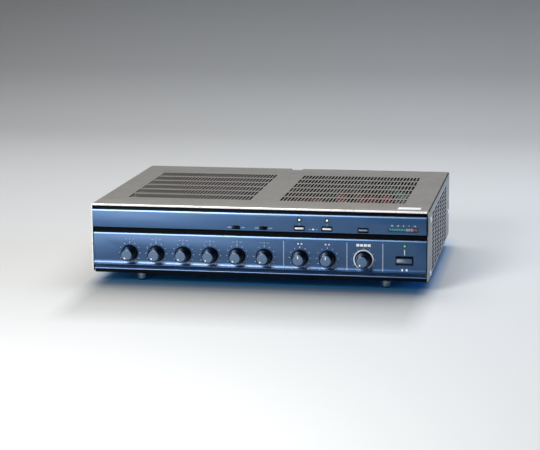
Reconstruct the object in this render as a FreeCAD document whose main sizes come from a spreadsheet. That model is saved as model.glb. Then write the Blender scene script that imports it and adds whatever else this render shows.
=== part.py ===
"""Public address amplifier: a desk-top housing with nine rotary knobs, a power button, three push
buttons and two slide switches. Millimetres, +Z up, the front faces -Y, X runs to the right as the
front is looked at. The origin lies under the middle of the whole object, on the standing surface.

Every sub-part is drawn from the plane of the cover's front edge, so y = 0 is that plane in the
sketches and y grows towards the back. Each sub-part's Placement then moves it by half the cover's
depth, which puts the origin in the middle."""
import FreeCAD, Part
import math
import os

import Sketcher
from FreeCAD import Placement, Rotation, Vector

os.makedirs("parts", exist_ok=True)
doc = FreeCAD.newDocument("public_address_amplifier")

# Driving dimensions

SIZES = (
    # Housing
    ("body_width", 420),
    ("body_height", 88),
    ("cover_depth", 309),
    ("foot_height", 14),
    ("cover_sheet", 1.6),
    ("cover_bend", 2.6),
    ("cover_skirt", 2.5),
    ("chassis_sheet", 1.2),
    ("chassis_wall", 14),
    ("panel_inset", 1.3),
    ("panel_flange", 18),
    ("notch_width", 16),
    ("notch_depth", 10),
    ("foot_radius", 6.5),
    ("foot_spacing", 310),
    ("foot_front", 34),
    ("foot_back", 272),
    # Slots of the top and of the side walls
    ("slot_width", 2.4),
    ("slot_length", 26.5),
    ("slot_pitch", 4.4),
    ("row_pitch", 34.5),
    ("field_gap", 37.6),
    ("field_front", 52),
    ("side_slot_width", 2.6),
    ("side_slot_length", 101.5),
    ("side_slot_pitch", 109.5),
    ("side_row_pitch", 5.2),
    ("side_field_front", 48),
    ("side_field_floor", 21.2),
    # Front: frame, upper and lower fascia
    ("fascia_width", 416),
    ("plate_width", 414.6),
    ("fascia_wall", 2.2),
    ("frame_front", 5),
    ("frame_sheet", 2),
    ("upper_top", 95.5),
    ("upper_floor", 72.3),
    ("upper_proud", 4),
    ("lower_top", 66.8),
    ("edge_bevel", 1.5),
    ("cove_top", 31.9),
    ("cove_radius", 9),
    ("cove_turn", 35),
    ("nose_radius", 5),
    ("nose_turn", 70),
    ("groove_rib", 1.4),
    ("rib_proud", 2),
    ("frame_floor_gap", 0.4),
    ("shaft_window_left", -176),
    ("shaft_window_right", 150),
    ("shaft_window_height", 9),
    ("switch_window_left", -38),
    ("switch_window_right", 202),
    ("switch_window_floor", 73),
    ("switch_window_top", 91),
    # Control columns
    ("knob_pitch", 34),
    ("first_knob", -161.6),
    ("group_gap", 10.2),
    ("power_column", 180.8),
    ("knob_axis", 41),
    ("upper_axis", 77.4),
    ("lamp_axis", 87.5),
    ("power_lamp_axis", 58.9),
    ("meter_column", 179.5),
    ("meter_axis", 79.6),
    # Knobs, shafts and potentiometers
    ("knob_reach", 17),
    ("knob_gap", 0.8),
    ("skirt_radius", 10.2),
    ("skirt_depth", 2.6),
    ("skirt_bevel", 1.4),
    ("grip_radius", 8.4),
    ("grip_bevel", 1.2),
    ("shaft_radius", 3),
    ("shaft_flat", 1.5),
    ("shaft_in_knob", 10),
    ("shaft_hole", 4.4),
    ("pot_size", 16.5),
    ("pot_back", 18),
    # Buttons, slide switches, lamps and level meter
    ("button_width", 12),
    ("button_height", 4.7),
    ("button_play", 0.4),
    ("button_proud", 1.6),
    ("button_lip", 0.6),
    ("button_root", 6),
    ("stem_size", 3.4),
    ("stem_end", 12),
    ("stem_play", 0.4),
    ("switch_front", 9),
    ("switch_width", 13),
    ("switch_height", 9),
    ("switch_recess", 6),
    ("upper_board", 20),
    ("slider_width", 3.2),
    ("slider_height", 3.6),
    ("slider_window", 9),
    ("slider_stroke", 4.8),
    ("slider_proud", 1),
    ("slider_depth", 2),
    ("slide_switch_width", 18),
    ("slide_switch_height", 8),
    ("power_width", 20),
    ("power_height", 9.8),
    ("power_ridge", 5.6),
    ("power_ridge_rise", 0.4),
    ("power_lower_edge", 3.4),
    ("power_upper_edge", 2.6),
    ("power_root", 3),
    ("power_stem", 6),
    ("power_stem_end", 12),
    ("power_switch_width", 24),
    ("power_switch_height", 20),
    ("power_switch_back", 36),
    ("power_recess", 10),
    ("lamp_radius", 1.6),
    ("lamp_proud", 0.6),
    ("meter_width", 36),
    ("meter_height", 5),
    ("meter_play", 0.2),
    ("meter_sunk", 0.4),
    ("board_sheet", 1.6),
    # Back
    ("terminal_reach", 17),
    ("terminal_wall", 2.4),
    ("terminal_depth", 6),
    ("channel_depth", 9),
    ("jack_depth", 8),
    ("jack_rim", 1),
    ("jack_pitch_across", 14),
    ("jack_pitch_up", 16),
    ("jack_radius", 4.2),
    ("jack_length", 10),
    ("fuse_radius", 5.8),
    ("fuse_depth", 30),
    ("fuse_cap_radius", 8),
    ("fuse_cap_length", 11),
    ("earth_radius", 5),
    ("earth_length", 9),
    ("bushing_bore", 4.6),
    ("bushing_body", 7.4),
    ("bushing_rim", 9.4),
    ("bushing_rim_length", 4),
    ("bushing_depth", 8),
    # Inside
    ("transformer_bulge", 12),
    ("sink_plate", 4),
    ("fin", 2),
    ("transistor_width", 16),
    ("transistor_depth", 5),
    ("transistor_height", 21),
    ("capacitor_radius", 13),
    ("capacitor_height", 46),
    ("post_radius", 4),
    ("spacer_radius", 3),
    ("screw_radius", 3.6),
    ("screw_head", 1.8),
)

sheet = doc.addObject("Spreadsheet::Sheet", "sizes")
for row, (name, number) in enumerate(SIZES, start=1):
    sheet.set("A%d" % row, name)
    sheet.set("B%d" % row, str(number))
    sheet.setAlias("B%d" % row, name)
doc.recompute()

# Sizes that several sub-parts share, as expressions of the sheet's cells

BODY_TOP = "(sizes.foot_height + sizes.body_height)"
INNER_TOP = "(sizes.foot_height + sizes.body_height - sizes.cover_sheet)"
CHASSIS_TOP = "(sizes.foot_height + sizes.chassis_sheet)"
FRAME_BACK = "(sizes.frame_front + sizes.frame_sheet)"
PANEL_BACK = "(sizes.cover_depth - sizes.panel_inset)"
PANEL_FRONT = "(sizes.cover_depth - sizes.panel_inset - sizes.chassis_sheet)"
KNOB_BACK = "sizes.knob_gap"

pieces = []


def value(text):
    """The number that an expression of the sheet's cells stands for."""
    return float(sheet.evalExpression(text))


def keep(piece):
    pieces.append(piece)
    return piece


def set_place(thing, x="0", y="0", z="0"):
    """Puts a sub-part at x, y, z, with y counted from the plane of the cover's front edge."""
    thing.setExpression("Placement.Base.x", x)
    thing.setExpression("Placement.Base.y", "(%s) - sizes.cover_depth / 2" % y)
    thing.setExpression("Placement.Base.z", z)


def control_column(number):
    """The X of a control column: six inputs, two tone controls and the master volume."""
    gaps = 0 if number < 6 else 1 if number < 8 else 2
    return "(sizes.first_knob + %d * sizes.knob_pitch + %d * sizes.group_gap)" % (number, gaps)


# Sketches and features

def new_body(label):
    body = doc.addObject("PartDesign::Body", label)
    body.Label = label
    set_place(body)
    return body


def origin_plane(body, role):
    for item in body.Origin.OriginFeatures:
        if item.Role == role:
            return item


def new_sketch(body, name, role, out="0", across="0", up="0"):
    """A sketch on one of the body's origin planes, shifted across, up and out of that plane."""
    sketch = body.newObject("Sketcher::SketchObject", name)
    sketch.AttachmentSupport = (origin_plane(body, role), [""])
    sketch.MapMode = "FlatFace"
    sketch.setExpression("AttachmentOffset.Base.x", across)
    sketch.setExpression("AttachmentOffset.Base.y", up)
    sketch.setExpression("AttachmentOffset.Base.z", out)
    return sketch


def constrain(sketch, text, *rule):
    """Adds a dimension to a sketch and binds it to an expression."""
    number = sketch.addConstraint(Sketcher.Constraint(*rule, value(text)))
    sketch.setExpression("Constraints[%d]" % number, text)


def pin_point(sketch, edge, end, x, y):
    constrain(sketch, x, "DistanceX", -1, 1, edge, end)
    constrain(sketch, y, "DistanceY", -1, 1, edge, end)


def arc_middle(start, finish, radius, side):
    """The middle of the arc under half a circle from start to finish that bulges to one side."""
    chord = finish - start
    left = Vector(-chord.y, chord.x, 0).normalize()
    rise = radius - math.sqrt(radius ** 2 - (chord.Length / 2) ** 2)
    return (start + finish) * 0.5 + left * side * rise


def outline(sketch, path):
    """A closed outline. A corner is (x, y), or (x, y, radius, side) where an arc leads to it that
    bulges to the left (1) or to the right (-1) of the way."""
    spots = [Vector(value(corner[0]), value(corner[1]), 0) for corner in path]
    ends = []
    for here, corner in enumerate(path):
        start, finish = spots[here - 1], spots[here]
        if len(corner) == 2:
            edge = sketch.addGeometry(Part.LineSegment(start, finish))
            ends.append((edge, 1, 2))
            continue
        middle = arc_middle(start, finish, value(corner[2]), corner[3])
        edge = sketch.addGeometry(Part.Arc(start, middle, finish))
        ends.append((edge, 2, 1) if corner[3] > 0 else (edge, 1, 2))
        constrain(sketch, corner[2], "Radius", edge)
    for here, corner in enumerate(path):
        edge, _, finish = ends[here]
        after, start, _ = ends[(here + 1) % len(path)]
        sketch.addConstraint(Sketcher.Constraint("Coincident", edge, finish, after, start))
        pin_point(sketch, edge, finish, corner[0], corner[1])


def rectangle(sketch, wide, tall, x="0", y="0"):
    """A rectangle centred on x, y."""
    left, right = "%s - (%s) / 2" % (x, wide), "%s + (%s) / 2" % (x, wide)
    floor, top = "%s - (%s) / 2" % (y, tall), "%s + (%s) / 2" % (y, tall)
    outline(sketch, ((left, floor), (right, floor), (right, top), (left, top)))


def regular_outline(sketch, sides, radius, x="0", y="0"):
    """A regular polygon round x, y, held by a construction circle. Round pieces and holes that
    come many times are drawn this way, which keeps their facets few."""
    centre = Vector(value(x), value(y), 0)
    corners = []
    for step in range(sides):
        turn = 2 * math.pi * (step + 0.5) / sides
        corners.append(centre + Vector(math.cos(turn), math.sin(turn), 0) * value(radius))
    ring = sketch.addGeometry(Part.Circle(centre, Vector(0, 0, 1), value(radius)), True)
    constrain(sketch, radius, "Radius", ring)
    pin_point(sketch, ring, 3, x, y)
    first = ring + 1
    for step in range(sides):
        sketch.addGeometry(Part.LineSegment(corners[step], corners[(step + 1) % sides]))
    for step in range(sides):
        edge, after = first + step, first + (step + 1) % sides
        sketch.addConstraint(Sketcher.Constraint("Coincident", edge, 2, after, 1))
        sketch.addConstraint(Sketcher.Constraint("PointOnObject", edge, 2, ring))
    for step in range(1, sides):
        sketch.addConstraint(Sketcher.Constraint("Equal", first, first + step))
    sketch.addConstraint(Sketcher.Constraint("Vertical", first + sides - 1))


def pad(body, sketch, length, back=False, both=False):
    feature = body.newObject("PartDesign::Pad", sketch.Name + "_pad")
    feature.Profile = sketch
    feature.setExpression("Length", length)
    feature.Reversed = back
    if both:
        feature.SideType = "Symmetric"
    return feature


def pocket(body, sketch, length=None, forward=False, both=False):
    """Cuts along the sketch's plane's back, or forward, by a length or through all."""
    feature = body.newObject("PartDesign::Pocket", sketch.Name + "_pocket")
    feature.Profile = sketch
    feature.Reversed = forward
    if length is None:
        feature.Type = "ThroughAll"
    else:
        feature.setExpression("Length", length)
    if both:
        feature.SideType = "Symmetric"
    return feature


def repeat(body, feature, sketch, *runs, mirror=None):
    """Repeats a feature in rows along its sketch's axes, and mirrors the rows if asked."""
    many = body.newObject("PartDesign::MultiTransform", feature.Name + "_rows")
    many.Originals = [feature]
    steps = []
    for axis, spacing, count in runs:
        row = body.newObject("PartDesign::LinearPattern", feature.Name + "_" + axis)
        row.Direction = (sketch, [axis])
        row.Mode = "Spacing"
        row.setExpression("Offset", spacing)
        row.Occurrences = count
        steps.append(row)
    if mirror:
        flip = body.newObject("PartDesign::Mirrored", feature.Name + "_mirror")
        flip.MirrorPlane = (origin_plane(body, mirror), [""])
        steps.append(flip)
    many.Transformations = steps
    body.Tip = many
    return many


# Plain solids

def box(label, x, y, z, wide, deep, high):
    """A block centred on x, with its front at y and its underside at z."""
    block = doc.addObject("Part::Box", label)
    block.Label = label
    for prop, text in (("Length", wide), ("Width", deep), ("Height", high)):
        block.setExpression(prop, text)
    set_place(block, "%s - %s / 2" % (x, wide), y, z)
    return block


def rod(label, sides, radius, x, y, z, length, upright=False):
    """A many-sided rod: it runs back from y, or up from z if upright."""
    stick = doc.addObject("Part::Prism", label)
    stick.Label = label
    stick.Polygon = sides
    stick.setExpression("Circumradius", radius)
    stick.setExpression("Height", length)
    turn = Rotation(Vector(0, 0, 1), 180 / sides)
    if not upright:
        turn = Rotation(Vector(1, 0, 0), -90) * turn
    stick.Placement = Placement(Vector(), turn)
    set_place(stick, x, y, z)
    return stick


def group(label, members):
    """Like pieces that share one node as separate solids."""
    together = doc.addObject("Part::Compound", label)
    together.Label = label
    together.Links = members
    return together


def cut(label, base, tool):
    rest = doc.addObject("Part::Cut", label)
    rest.Label = label
    rest.Base = base
    rest.Tool = tool
    return rest


# Top cover: one steel sheet bent down on both sides, with two fields of slots on the top and a
# field of slots in each side wall

def make_top_cover():
    body = keep(new_body("top_cover"))
    half = "sizes.body_width / 2"
    inner = "(sizes.body_width / 2 - sizes.cover_sheet)"
    bent = "(sizes.body_width / 2 - sizes.cover_bend)"
    floor = "(sizes.foot_height + sizes.cover_skirt)"
    shoulder = "(%s - sizes.cover_bend)" % BODY_TOP
    inner_bend = "(sizes.cover_bend - sizes.cover_sheet)"
    wrap = new_sketch(body, "wrap", "XZ_Plane")
    outline(wrap, (
        ("-" + half, floor), ("-" + inner, floor), ("-" + inner, shoulder),
        ("-" + bent, INNER_TOP, inner_bend, 1), (bent, INNER_TOP),
        (inner, shoulder, inner_bend, 1), (inner, floor), (half, floor), (half, shoulder),
        (bent, BODY_TOP, "sizes.cover_bend", -1), ("-" + bent, BODY_TOP),
        ("-" + half, shoulder, "sizes.cover_bend", -1)))
    pad(body, wrap, "sizes.cover_depth", back=True)

    notch = new_sketch(body, "rear_notch", "XY_Plane", up="sizes.cover_depth", out=BODY_TOP)
    rectangle(notch, "sizes.notch_width", "2 * sizes.notch_depth")
    pocket(body, notch, "2 * sizes.cover_sheet")

    side = new_sketch(body, "side_slot", "YZ_Plane",
                      across="sizes.side_field_front + sizes.side_slot_length / 2",
                      up="sizes.side_field_floor + sizes.side_slot_width / 2")
    rectangle(side, "sizes.side_slot_length", "sizes.side_slot_width")
    side_cut = pocket(body, side, "2 * sizes.body_width", both=True)
    repeat(body, side_cut, side, ("H_Axis", "sizes.side_slot_pitch", 2),
           ("V_Axis", "sizes.side_row_pitch", 14))

    slot = new_sketch(body, "top_slot", "XY_Plane",
                      across="(sizes.field_gap + sizes.slot_width) / 2",
                      up="sizes.field_front + sizes.slot_length / 2", out=BODY_TOP)
    rectangle(slot, "sizes.slot_width", "sizes.slot_length")
    slot_cut = pocket(body, slot, "2 * sizes.cover_sheet")
    repeat(body, slot_cut, slot, ("H_Axis", "sizes.slot_pitch", 36),
           ("V_Axis", "sizes.row_pitch", 6), mirror="YZ_Plane")


# Bottom chassis: a steel tray that the cover's walls close over, with four turned feet

def make_chassis():
    body = keep(new_body("bottom_chassis"))
    wide = "(sizes.body_width - 2 * sizes.cover_sheet)"
    deep = "(%s - %s)" % (PANEL_FRONT, FRAME_BACK)
    middle = "((%s + %s) / 2)" % (PANEL_FRONT, FRAME_BACK)
    floor = new_sketch(body, "tray", "XY_Plane", out="sizes.foot_height")
    rectangle(floor, wide, deep, y=middle)
    pad(body, floor, "sizes.chassis_wall")
    room = new_sketch(body, "tray_room", "XY_Plane",
                      out="sizes.foot_height + sizes.chassis_wall")
    rectangle(room, "(%s - 2 * sizes.chassis_sheet)" % wide,
              "(%s - 2 * sizes.chassis_sheet)" % deep, y=middle)
    pocket(body, room, "sizes.chassis_wall - sizes.chassis_sheet")

    feet = []
    for across, side in (("-", "left"), ("", "right")):
        for place in ("front", "back"):
            feet.append(rod("%s_%s_foot" % (place, side), 12, "sizes.foot_radius",
                            across + "sizes.foot_spacing / 2", "sizes.foot_" + place, "0",
                            "sizes.foot_height", upright=True))
    keep(group("feet", feet))


# Rear panel: a steel sheet with a flange under the cover's rear edge, cut out for the terminals

REAR_CUT_OUTS = (
    # label, X of its middle, height of its middle, width, height
    ("speaker_terminals", "-70", "44", "84", "20"),
    ("input_terminals", "60", "44", "112", "16"),
    ("pin_jack_block", "158", "52", "44", "34"),
)
BUSHING_X, BUSHING_Z, BUSHING_SIDES = "-180", "37", 10
FUSE_X, FUSE_Z, FUSE_SIDES = "-180", "66", 8
EARTH_X, EARTH_Z = "-148", "37"


def make_rear_panel():
    body = keep(new_body("rear_panel"))
    bend = new_sketch(body, "panel_bend", "YZ_Plane")
    flange_front = "(%s - sizes.panel_flange)" % PANEL_BACK
    flange_floor = "(%s - sizes.chassis_sheet)" % INNER_TOP
    outline(bend, (
        (PANEL_BACK, "sizes.foot_height"), (PANEL_BACK, INNER_TOP), (flange_front, INNER_TOP),
        (flange_front, flange_floor), (PANEL_FRONT, flange_floor),
        (PANEL_FRONT, "sizes.foot_height")))
    pad(body, bend, "sizes.plate_width", both=True)
    holes = new_sketch(body, "panel_holes", "XZ_Plane", out="-" + PANEL_FRONT)
    for _, x, z, wide, tall in REAR_CUT_OUTS:
        rectangle(holes, wide, tall, x, z)
    regular_outline(holes, BUSHING_SIDES, "sizes.bushing_body", BUSHING_X, BUSHING_Z)
    regular_outline(holes, FUSE_SIDES, "sizes.fuse_radius", FUSE_X, FUSE_Z)
    pocket(body, holes)


# Terminals at the back: two barrier strips, a block of pin jacks, a fuse holder, an earth nut and
# the bushing of the mains lead's inlet

def make_barrier_strip(label, x, z, wide, tall, ways):
    """A strip with open channels for the terminal screws between barriers."""
    body = keep(new_body(label))
    front = "(%s - sizes.terminal_depth)" % PANEL_FRONT
    back = "(sizes.cover_depth + sizes.terminal_reach)"
    block = new_sketch(body, label + "_block", "XZ_Plane", out="-" + front)
    rectangle(block, wide, tall, x, z)
    pad(body, block, "%s - %s" % (back, front), back=True)
    pitch = "((%s - sizes.terminal_wall) / %d)" % (wide, ways)
    channel = new_sketch(body, label + "_channel", "XY_Plane",
                         across="%s - (%s - sizes.terminal_wall) / 2 + %s / 2" % (x, wide, pitch),
                         up=back)
    rectangle(channel, "(%s - sizes.terminal_wall)" % pitch, "2 * sizes.channel_depth")
    channel_cut = pocket(body, channel, "2 * sizes.body_height", both=True)
    repeat(body, channel_cut, channel, ("H_Axis", pitch, ways))


def make_rear_terminals():
    strips, jacks = REAR_CUT_OUTS[:2], REAR_CUT_OUTS[2]
    for (label, x, z, wide, tall), ways in zip(strips, (5, 6)):
        make_barrier_strip(label, x, z, wide, tall, ways)
    label, x, z, wide, tall = jacks
    front = "(%s - sizes.jack_depth)" % PANEL_FRONT
    rim = "(sizes.cover_depth + sizes.jack_rim)"
    block = box("jack_housing", x, front, "%s - %s / 2" % (z, tall), wide,
                "%s - %s" % (rim, front), tall)
    keep(group(label, [block]))
    barrels = []
    for column in (-1, 0, 1):
        for row in (-0.5, 0.5):
            barrels.append(rod("jack_barrel_%d_%d" % (column, 2 * row), 6, "sizes.jack_radius",
                               "%s + %d * sizes.jack_pitch_across" % (x, column), rim,
                               "%s + %.1f * sizes.jack_pitch_up" % (z, row),
                               "sizes.jack_length"))
    keep(group("pin_jacks", barrels))

    keep(group("fuse_holder", [
        rod("fuse_body", FUSE_SIDES, "sizes.fuse_radius", FUSE_X,
            "%s - sizes.fuse_depth" % PANEL_BACK, FUSE_Z, "sizes.fuse_depth"),
        rod("fuse_cap", FUSE_SIDES, "sizes.fuse_cap_radius", FUSE_X, PANEL_BACK, FUSE_Z,
            "sizes.fuse_cap_length")]))
    keep(group("earth_terminal", [
        rod("earth_nut", 6, "sizes.earth_radius", EARTH_X, PANEL_BACK, EARTH_Z,
            "sizes.earth_length")]))

    neck_front = "(%s - sizes.bushing_depth)" % PANEL_FRONT
    rim_back = "(%s + sizes.bushing_rim_length)" % PANEL_BACK
    rim = rod("bushing_rim", BUSHING_SIDES, "sizes.bushing_rim", BUSHING_X, PANEL_BACK,
              BUSHING_Z, "sizes.bushing_rim_length")
    neck = rod("bushing_neck", BUSHING_SIDES, "sizes.bushing_body", BUSHING_X, neck_front,
               BUSHING_Z, "%s - %s" % (PANEL_BACK, neck_front))
    outside = doc.addObject("Part::MultiFuse", "bushing_outside")
    outside.Shapes = [rim, neck]
    bore = rod("bushing_hole", BUSHING_SIDES, "sizes.bushing_bore", BUSHING_X,
               "%s - 1" % neck_front, BUSHING_Z, "%s - %s + 2" % (rim_back, neck_front))
    keep(cut("cord_bushing", outside, bore))


# Front frame: the black plate behind both fascias, seen in the gap above them, in the groove
# between them and under them. It has windows for the shafts, the switches and the power lamp

LAMP_SIDES = 8


def make_front_frame():
    body = keep(new_body("front_frame"))
    floor = "(sizes.foot_height + sizes.frame_floor_gap)"
    plate = new_sketch(body, "frame_plate", "XZ_Plane", out="-sizes.frame_front")
    rectangle(plate, "sizes.plate_width", "(%s - %s)" % (INNER_TOP, floor),
              y="(%s + %s) / 2" % (INNER_TOP, floor))
    pad(body, plate, "sizes.frame_sheet", back=True)
    windows = new_sketch(body, "frame_windows", "XZ_Plane", out="-sizes.frame_front")
    rectangle(windows, "(sizes.shaft_window_right - sizes.shaft_window_left)",
              "sizes.shaft_window_height",
              "(sizes.shaft_window_right + sizes.shaft_window_left) / 2", "sizes.knob_axis")
    rectangle(windows, "(sizes.switch_window_right - sizes.switch_window_left)",
              "(sizes.switch_window_top - sizes.switch_window_floor)",
              "(sizes.switch_window_right + sizes.switch_window_left) / 2",
              "(sizes.switch_window_top + sizes.switch_window_floor) / 2")
    rectangle(windows, "(sizes.power_width + 4 * sizes.button_play)",
              "(sizes.power_height + 4 * sizes.button_play)", "sizes.power_column",
              "sizes.knob_axis")
    rectangle(windows, "3 * sizes.lamp_radius", "3 * sizes.lamp_radius", "sizes.power_column",
              "sizes.power_lamp_axis")
    pocket(body, windows)
    rib = new_sketch(body, "groove_rib", "XZ_Plane", out="-sizes.frame_front")
    rectangle(rib, "sizes.plate_width", "sizes.groove_rib",
              y="(sizes.lower_top + sizes.upper_floor) / 2")
    pad(body, rib, "sizes.rib_proud")


# Lower fascia: an aluminium moulding, flat behind the knobs, that flares forward in a cove and
# rolls under in a nose. It has a hole for every shaft, the power button and the power lamp

def hollow(body, name, floor, top, depth):
    """Opens a fascia from behind, with its end walls and its front wall left."""
    room = new_sketch(body, name, "XZ_Plane", out="-sizes.frame_front")
    rectangle(room, "(sizes.fascia_width - 2 * sizes.fascia_wall)", "(%s - %s)" % (top, floor),
              y="(%s + %s) / 2" % (top, floor))
    pocket(body, room, depth, forward=True)


def make_lower_fascia():
    body = keep(new_body("lower_fascia"))
    cove_y = "(-sizes.cove_radius * (1 - cos(sizes.cove_turn)))"
    cove_z = "(sizes.cove_top - sizes.cove_radius * sin(sizes.cove_turn))"
    nose_y = "(%s + sizes.nose_radius * (cos(sizes.cove_turn) - cos(sizes.nose_turn)))" % cove_y
    nose_z = "(%s - sizes.nose_radius * (sin(sizes.cove_turn) + sin(sizes.nose_turn)))" % cove_z
    section = new_sketch(body, "lower_section", "YZ_Plane")
    outline(section, (
        ("sizes.frame_front", "sizes.lower_top"), ("sizes.edge_bevel", "sizes.lower_top"),
        ("0", "sizes.lower_top - sizes.edge_bevel"), ("0", "sizes.cove_top"),
        (cove_y, cove_z, "sizes.cove_radius", 1), (nose_y, nose_z, "sizes.nose_radius", -1),
        ("sizes.frame_front", nose_z)))
    pad(body, section, "sizes.fascia_width", both=True)
    hollow(body, "lower_room", "(%s + 2 * sizes.fascia_wall)" % nose_z,
           "(sizes.lower_top - sizes.fascia_wall)", "sizes.frame_front - sizes.fascia_wall")
    holes = new_sketch(body, "lower_holes", "XZ_Plane", out="sizes.nose_radius")
    for column in range(len(ROTARY)):
        regular_outline(holes, 10, "sizes.shaft_hole", control_column(column),
                        "sizes.knob_axis")
    regular_outline(holes, LAMP_SIDES, "sizes.lamp_radius", "sizes.power_column",
                    "sizes.power_lamp_axis")
    rectangle(holes, "(sizes.power_width + 2 * sizes.button_play)",
              "(sizes.power_height + 2 * sizes.button_play)", "sizes.power_column",
              "sizes.knob_axis")
    pocket(body, holes)


# Upper fascia: a flatter moulding that stands prouder, with windows for two slide switches, three
# push buttons and the level meter, and two lamp holes

SLIDE_COLUMNS = (("low_cut", 4), ("priority", 5))
BUTTON_COLUMNS = (("speaker_a", 6), ("speaker_b", 7), ("chime", 8))


def make_upper_fascia():
    body = keep(new_body("upper_fascia"))
    face = "-sizes.upper_proud"
    section = new_sketch(body, "upper_section", "YZ_Plane")
    outline(section, (
        ("sizes.frame_front", "sizes.upper_top"),
        (face + " + sizes.edge_bevel", "sizes.upper_top"),
        (face, "sizes.upper_top - sizes.edge_bevel"), (face, "sizes.upper_floor"),
        ("sizes.frame_front", "sizes.upper_floor")))
    pad(body, section, "sizes.fascia_width", both=True)
    hollow(body, "upper_room", "(sizes.upper_floor + sizes.fascia_wall)",
           "(sizes.upper_top - sizes.fascia_wall)",
           "sizes.frame_front + sizes.upper_proud - sizes.fascia_wall")
    holes = new_sketch(body, "upper_holes", "XZ_Plane", out="2 * sizes.upper_proud")
    for _, column in SLIDE_COLUMNS:
        rectangle(holes, "sizes.slider_window", "(sizes.slider_height + 4 * sizes.button_play)",
                  control_column(column), "sizes.upper_axis")
    for _, column in BUTTON_COLUMNS:
        rectangle(holes, "(sizes.button_width + 2 * sizes.button_play)",
                  "(sizes.button_height + 2 * sizes.button_play)", control_column(column),
                  "sizes.upper_axis")
    for _, column in BUTTON_COLUMNS[:2]:
        regular_outline(holes, LAMP_SIDES, "sizes.lamp_radius", control_column(column),
                        "sizes.lamp_axis")
    rectangle(holes, "(sizes.meter_width + 2 * sizes.meter_play)",
              "(sizes.meter_height + 2 * sizes.meter_play)", "sizes.meter_column",
              "sizes.meter_axis")
    pocket(body, holes)


# Rotary controls: a skirted knob with flat grip faces, pressed on the shaft of a potentiometer

ROTARY = tuple("input_%d" % number for number in range(1, 7)) + ("bass", "treble", "master")
GRIP_FACES = 10
SOCKET_SIDES = 8


def bevel_rim(body, feature, y, radius, size):
    """Chamfers the edges of a many-sided rim at a place along the knob's axis."""
    edges = []
    for number, edge in enumerate(feature.Shape.Edges, start=1):
        ends = [corner.Point for corner in edge.Vertexes]
        if all(abs(end.y - value(y)) < 1e-6 for end in ends) \
                and all(abs(math.hypot(end.x, end.z) - value(radius)) < 1e-6 for end in ends):
            edges.append("Edge%d" % number)
    bevel = body.newObject("PartDesign::Chamfer", feature.Name + "_bevel")
    bevel.Base = (feature, edges)
    bevel.setExpression("Size", size)
    doc.recompute()
    return bevel


def make_knob(label, x):
    body = keep(new_body(label + "_knob"))
    set_place(body, x, "0", "sizes.knob_axis")
    skirt_front = "(%s + sizes.skirt_depth)" % KNOB_BACK
    skirt = new_sketch(body, label + "_skirt", "XZ_Plane", out=KNOB_BACK)
    regular_outline(skirt, GRIP_FACES, "sizes.skirt_radius")
    pad(body, skirt, "sizes.skirt_depth")
    grip = new_sketch(body, label + "_grip", "XZ_Plane", out=skirt_front)
    regular_outline(grip, GRIP_FACES, "sizes.grip_radius")
    pad(body, grip, "sizes.knob_reach - %s" % skirt_front)
    socket = new_sketch(body, label + "_socket", "XZ_Plane", out=KNOB_BACK)
    regular_outline(socket, SOCKET_SIDES, "sizes.shaft_radius / cos(180 / %d)" % SOCKET_SIDES)
    bored = pocket(body, socket, "sizes.shaft_in_knob", forward=True)
    doc.recompute()
    front = bevel_rim(body, bored, "-sizes.knob_reach", "sizes.grip_radius", "sizes.grip_bevel")
    bevel_rim(body, front, "-" + skirt_front, "sizes.skirt_radius", "sizes.skirt_bevel")


def make_shaft(label, x):
    """A turned shaft with one flat along it, from inside the knob to the potentiometer."""
    body = keep(new_body(label + "_shaft"))
    set_place(body, x, "0", "sizes.knob_axis")
    tip = "(sizes.knob_gap + sizes.shaft_in_knob)"
    half_flat = "sqrt(sizes.shaft_radius ^ 2 - sizes.shaft_flat ^ 2)"
    section = new_sketch(body, label + "_section", "XZ_Plane", out=tip)
    outline(section, (
        (half_flat, "sizes.shaft_flat"), ("0", "-sizes.shaft_radius", "sizes.shaft_radius", 1),
        ("-" + half_flat, "sizes.shaft_flat", "sizes.shaft_radius", 1)))
    pad(body, section, "%s + %s" % (FRAME_BACK, tip), back=True)


def make_rotary_controls():
    pots = []
    for column, label in enumerate(ROTARY):
        x = control_column(column)
        make_knob(label, x)
        make_shaft(label, x)
        pots.append(box(label + "_pot", x, FRAME_BACK, "sizes.knob_axis - sizes.pot_size / 2",
                        "sizes.pot_size", "sizes.pot_back - %s" % FRAME_BACK,
                        "sizes.pot_size"))
    keep(group("potentiometers", pots))


# Push buttons: a cap in its window, with a stem that slides in the switch behind it

def make_button(label, x, z, width, section, root, stem, stem_end):
    """A cap drawn as a section from the side, and its stem."""
    body = keep(new_body(label + "_button"))
    set_place(body, x, "0", z)
    cap = new_sketch(body, label + "_cap", "YZ_Plane")
    outline(cap, section)
    pad(body, cap, width, both=True)
    rear = new_sketch(body, label + "_stem", "XZ_Plane", out="-" + root)
    rectangle(rear, stem, stem)
    pad(body, rear, "%s - %s" % (stem_end, root), back=True)


def make_switch(label, x, z, width, height, front, back, stem_width, stem_height, depth):
    """A closed switch housing with a recess in its front for the moving piece."""
    body = new_body(label)
    set_place(body, x, "0", z)
    case = new_sketch(body, label + "_case", "XZ_Plane", out="-" + front)
    rectangle(case, width, height)
    pad(body, case, "%s - %s" % (back, front), back=True)
    recess = new_sketch(body, label + "_recess", "XZ_Plane", out="-" + front)
    rectangle(recess, stem_width, stem_height)
    pocket(body, recess, depth)
    return body


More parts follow.
